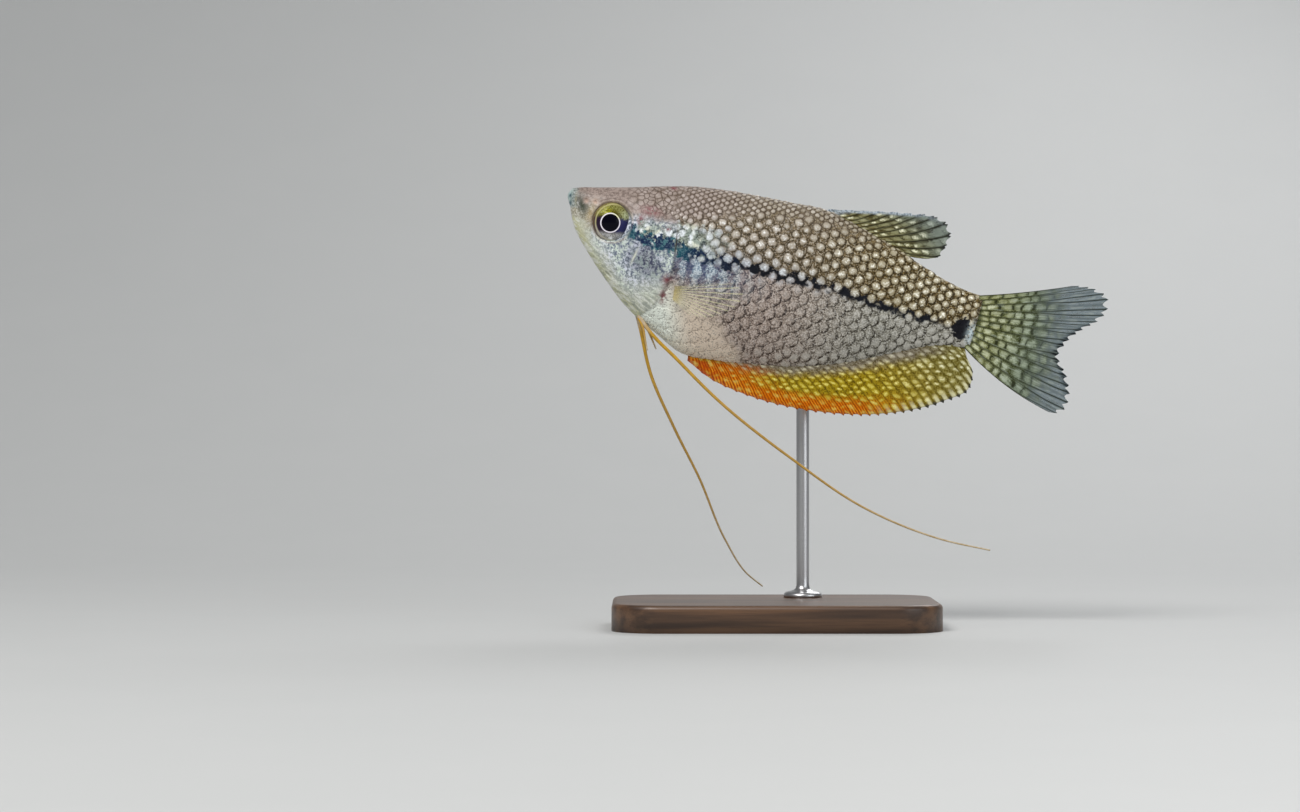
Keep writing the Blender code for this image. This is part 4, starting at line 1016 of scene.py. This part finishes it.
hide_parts("fin_caudal_upper", "fin_caudal_lower")


# Pectoral fins: clear round fans that stand off the flanks behind the gill cover, of thin clear resin with
# yellowish rays that catch the light.
PECTORAL_MIDDLE = (23.6, -12.5)
PECTORAL_ROOT = through(((23.6, -11.3), (23.9, -13.7)))
PECTORAL_EDGE = through(((31.0, -8.6), (34.2, -8.0), (36.1, -9.3), (35.7, -11.4), (33.9, -13.4),
                         (30.9, -15.2), (28.0, -15.6)))
PECTORAL_FLARE = math.tan(math.radians(17.0))
stand_off = float(half_width_at(*PECTORAL_MIDDLE)) + 0.35


def flared(side):
    """Stands a pectoral fin off its flank, further behind than in front."""
    return lambda station: side * (stand_off + (station - PECTORAL_MIDDLE[0]) * PECTORAL_FLARE * 1.08)


paint = Finish("pectoral_web", roughness=0.3, ior=1.4)
across, _, _, out, _, _ = lattice(paint, spacing=2.0, ray_step=0.8, jitter=0.0)
rib = abs(across).step(0.27, 0.4)
base = out.drop(0.0, 3.0)
web = paint.mix(rib, (0.6, 0.64, 0.6), (0.72, 0.68, 0.36))
web = paint.mix(base * 0.8, web, (0.6, 0.47, 0.12))
paint.feed(base_color=web, alpha=0.03 + rib * (0.62 - out.step(2.0, 11.0) * 0.36) + base * 0.3)
for name, side in (("fin_pectoral_left", -1), ("fin_pectoral_right", 1)):
    sheet = fin_sheet(name + "_web", PECTORAL_ROOT, PECTORAL_EDGE, rays=13, rows=28, ray_height=0.34,
                      flesh=0.5, bend=0.0, sway=flared(side), fork=0.16)
    sheet.data.materials.append(paint.material)
    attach(sheet, "root")
    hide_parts(name)


# Pelvic fins: each one long feeler, golden at its root and paling to its tip, drawn from flexible resin,
# with a short stub ray beside its root.
LEFT_ROUTE = ((-25.1, 0.8, 57.4), (-23.3, 1.1, 54.7), (-18.2, 1.9, 49.4), (-10.7, 2.8, 41.9),
              (2.7, 4.2, 31.2), (16.1, 5.4, 22.1), (30.4, 6.2, 16.3), (39.0, 6.6, 14.4))
RIGHT_ROUTE = ((-25.3, 0.8, 57.4), (-24.7, 1.1, 54.6), (-23.1, 2.6, 47.3), (-18.7, 5.4, 37.0),
               (-13.8, 8.6, 27.2), (-8.9, 12.4, 15.6), (-4.9, 14.8, 9.3), (-1.8, 16.2, 6.7))
LEFT_STUB = ((-25.2, 0.8, 57.2), (-24.3, 1.2, 55.0), (-23.9, 1.5, 52.8), (-23.5, 1.7, 50.9))
RIGHT_STUB = ((-24.6, 0.7, 57.2), (-23.5, 1.0, 55.0), (-22.6, 1.3, 52.9), (-21.9, 1.5, 51.2))


def feeler(name, path, radii, sides=12):
    """A tube of rings square to the path, closed at both ends; the number way is the share of the way."""
    run = np.gradient(path, axis=0)
    run /= np.linalg.norm(run, axis=1, keepdims=True)
    across = np.cross(run, (0.0, 1.0, 0.0))
    across /= np.linalg.norm(across, axis=1, keepdims=True)
    other = np.cross(run, across)
    turn = np.linspace(0, 2 * math.pi, sides, endpoint=False)
    circle = np.cos(turn)[None, :, None] * across[:, None] + np.sin(turn)[None, :, None] * other[:, None]
    rings = path[:, None] + circle * radii[:, None, None]
    share = np.repeat(np.linspace(0, 1, len(path))[:, None], sides, axis=1)
    return grid_mesh(name, rings[:, ::-1] * MM, around=True, poles=(path[0] * MM, path[-1] * MM),
                     values=(("way", share),))


paint = Finish("feeler_resin", roughness=0.4, ior=1.4)
way = paint.number("way")
tint = way.between(0.06, 0.4, (0.52, 0.29, 0.015), (0.44, 0.26, 0.055))
tint = way.between(0.015, 0.06, (0.52, 0.43, 0.31), tint)
tint = way.between(0.5, 1.0, tint, (0.52, 0.43, 0.29))
darker = paint.noise(paint.place(), 1.2, 3.0).step(0.35, 0.7) * 0.5
paint.feed(base_color=paint.mix(darker, tint, (0.3, 0.17, 0.02)))
for word, side, route, stub_route in (("left", -1, LEFT_ROUTE, LEFT_STUB),
                                      ("right", 1, RIGHT_ROUTE, RIGHT_STUB)):
    line = through([(x, side * depth, z) for x, depth, z in route])
    way_points = np.linspace(0.0, 1.0, 220)
    thick = 0.34 - 0.2 * way_points + 0.1 * (1 - eased(way_points, 0.0, 0.06))
    thread = feeler("feeler_" + word, line(way_points), thick)
    thread.data.materials.append(paint.material)
    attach(thread, "root")
    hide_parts(*("pelvic_" + word + "_" + part for part in ("upper", "middle", "tip")))
    line = through([(x, side * depth, z) for x, depth, z in stub_route])
    stub = feeler("stub_" + word, line(np.linspace(0, 1, 30)), np.linspace(0.3, 0.12, 30), 8)
    stub.data.materials.append(paint.material)
    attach(stub, "root")


# Stand base: a flat plate of dark wood with round corners and a rounded upper edge, sawn from one board,
# sanded and oiled.
BASE_SIZE = (60.0, 40.0, 5.0)
BASE_CORNER = 9.0
BASE_EDGE = 0.9


def plate_rings(size, corner, edge):
    """Rings of a rounded oblong: up the side, over the edge by a quarter circle, and in to a small oblong."""
    turn = np.linspace(0, 2 * math.pi, 96, endpoint=False) + 1e-6
    steps = np.linspace(0, math.pi / 2, 10)
    rise = [0.0, 0.0, *(size[2] - edge + edge * np.sin(steps)), size[2], size[2]]
    insets = [6.0, 0.0, *(edge * (1 - np.cos(steps))), 2.0, 6.0]
    outward = np.stack([np.cos(turn), np.sin(turn)], axis=-1)
    middle = np.sign(outward) * (np.array(size[:2]) / 2 - corner)
    rings = [np.insert(middle + (corner - inset) * outward, 2, up, axis=1) for up, inset in zip(rise, insets)]
    return np.array(rings)


rings = plate_rings(BASE_SIZE, BASE_CORNER, BASE_EDGE)
base = grid_mesh("wood_base", rings * MM, around=True, poles=((0, 0, 0), (0, 0, BASE_SIZE[2] * MM)))
paint = Finish("oiled_wood", coat_weight=0.25, coat_roughness=0.25)
grain = paint.noise(paint.stretched(0.03, 0.55, 0.55), 1.0, 5.0)
fibre = paint.noise(paint.stretched(0.1, 5.0, 5.0), 1.0, 3.0)
wood = grain.between(0.3, 0.7, (0.04, 0.018, 0.008), (0.135, 0.066, 0.03))
wood = paint.mix(fibre.step(0.5, 0.8) * 0.6, wood, (0.022, 0.01, 0.005))
paint.feed(base_color=wood, roughness=0.4 + fibre * 0.15)
paint.relief(fibre, 0.25, 0.00005)
base.data.materials.append(paint.material)
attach(base, "root")
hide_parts("stand_base")


# Stand rod: brushed steel, with a turned foot screwed to the base. It rises behind the fish, and its upper
# end turns in to the far flank, where it is pushed into the body.
ROD_PLACE = (5.5, 9.2)
ROD_TOP = 60.0
ROD_BEND = 3.2
ROD_RADIUS = 1.2
ROD_FOOT = ((0.0, 3.55), (0.45, 3.6), (0.75, 3.45), (1.0, 3.1), (1.15, 2.4), (1.35, 1.7), (1.7, 1.35),
            (2.3, ROD_RADIUS))
rod_x, rod_y = ROD_PLACE
foot = BASE_SIZE[2] + 0.02
heights = [foot + rise for rise, _ in ROD_FOOT] + list(np.linspace(9.0, ROD_TOP - ROD_BEND - 0.5, 12))
rod_path = [(rod_x, rod_y, up) for up in heights]
rod_path += [(rod_x, rod_y - ROD_BEND * (1 - math.cos(t)), ROD_TOP - ROD_BEND * (1 - math.sin(t)))
             for t in np.linspace(0.0, math.pi / 2, 14)]
rod_path = np.array(rod_path + [(rod_x, rod_y - ROD_BEND - 1.2, ROD_TOP)])
rod_radii = np.array([radius for _, radius in ROD_FOOT] + [ROD_RADIUS] * (len(rod_path) - len(ROD_FOOT)))
run = np.gradient(rod_path, axis=0)
run[:len(heights)] = (0.0, 0.0, 1.0)
run /= np.linalg.norm(run, axis=1, keepdims=True)
across = np.array([1.0, 0.0, 0.0])
turn = np.linspace(0, 2 * math.pi, 40, endpoint=False)[None, :, None]
circle = np.cos(turn) * across + np.sin(turn) * np.cross(run, across)[:, None]
rod = grid_mesh("steel_rod", (rod_path[:, None] + circle * rod_radii[:, None, None]) * MM, around=True,
                poles=(rod_path[0] * MM, rod_path[-1] * MM))
paint = Finish("brushed_steel", metallic=1.0)
brushed = paint.noise(paint.stretched(0.6, 0.6, 14.0), 1.0, 2.0)
paint.feed(base_color=paint.mix(brushed, (0.46, 0.46, 0.47), (0.62, 0.62, 0.63)),
           roughness=0.26 + brushed * 0.14)
rod.data.materials.append(paint.material)
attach(rod, "root")
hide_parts("stand_rod")


# Floor, light and camera: a pale studio floor that turns up into a backdrop, soft lamps, and a level
# camera square to the fish's left side, framed as the photo is.
paint = Finish("studio_floor", roughness=0.6)
paper = paint.noise(paint.node("ShaderNodeTexCoord", output=3), 40.0, 4.0)
paint.feed(base_color=paint.mix(paper * 0.3, (0.52, 0.53, 0.53), (0.58, 0.58, 0.58)))
bend = np.linspace(0, math.pi / 2, 33)
curve = np.stack([0 * bend, 0.22 + 0.75 * np.sin(bend), 0.75 - 0.75 * np.cos(bend)], axis=-1)
sweep = np.concatenate([[[0.0, -1.5, 0.0]], curve, [[0.0, 0.97, 2.0]]])
backdrop = grid_mesh("backdrop", np.stack([sweep - (1.8, 0, 0), sweep + (1.8, 0, 0)], axis=1)[:, ::-1])
backdrop.data.materials.append(paint.material)


def lamp(name, place, aim, size, power, tint=(1.0, 1.0, 1.0)):
    """A square soft lamp at a place, turned to face its aim."""
    light = bpy.data.lights.new(name, "AREA")
    light.shape = "SQUARE"
    light.size = size
    light.energy = power
    light.color = tint
    made = bpy.data.objects.new(name, light)
    bpy.context.scene.collection.objects.link(made)
    away = np.array(place) - np.array(aim)
    made.location = place
    flat = math.hypot(away[0], away[1])
    made.rotation_euler = (math.atan2(flat, away[2]), 0.0, math.atan2(away[0], -away[1]))


FISH_MIDDLE = (0.0, 0.0, 0.06)
lamp("key", (-0.3, -0.55, 0.75), FISH_MIDDLE, 0.45, 8.0, (1.0, 0.985, 0.96))
lamp("fill", (0.65, -0.6, 0.3), FISH_MIDDLE, 0.6, 2.2, (0.95, 0.98, 1.0))
lamp("rim", (0.25, 0.55, 0.55), FISH_MIDDLE, 0.4, 2.0)
world = bpy.data.worlds.new("studio")
world.use_nodes = True
world.node_tree.nodes["Background"].inputs[0].default_value = (0.9, 0.93, 0.96, 1.0)
world.node_tree.nodes["Background"].inputs[1].default_value = 0.2
bpy.context.scene.world = world
bpy.context.scene.view_settings.view_transform = "Standard"

PHOTO_SIZE = (1300, 812)
ORIGIN_PIXEL = (775, 627)
FISH_LENGTH, FISH_PIXELS = 100.0, 543.0
MM_PER_PIXEL = FISH_LENGTH / FISH_PIXELS
LENS, SENSOR = 100.0, 36.0
PHOTO_MIDDLE = ((PHOTO_SIZE[0] / 2 - ORIGIN_PIXEL[0]) * MM_PER_PIXEL * MM,
                (ORIGIN_PIXEL[1] - PHOTO_SIZE[1] / 2) * MM_PER_PIXEL * MM)
distance = PHOTO_SIZE[0] * MM_PER_PIXEL * MM * LENS / SENSOR
eye = bpy.data.cameras.new("camera")
eye.lens, eye.sensor_width = LENS, SENSOR
camera = bpy.data.objects.new("camera", eye)
bpy.context.scene.collection.objects.link(camera)
camera.location = (PHOTO_MIDDLE[0], -distance, PHOTO_MIDDLE[1])
camera.rotation_euler = (math.pi / 2, 0.0, 0.0)
bpy.context.scene.camera = camera
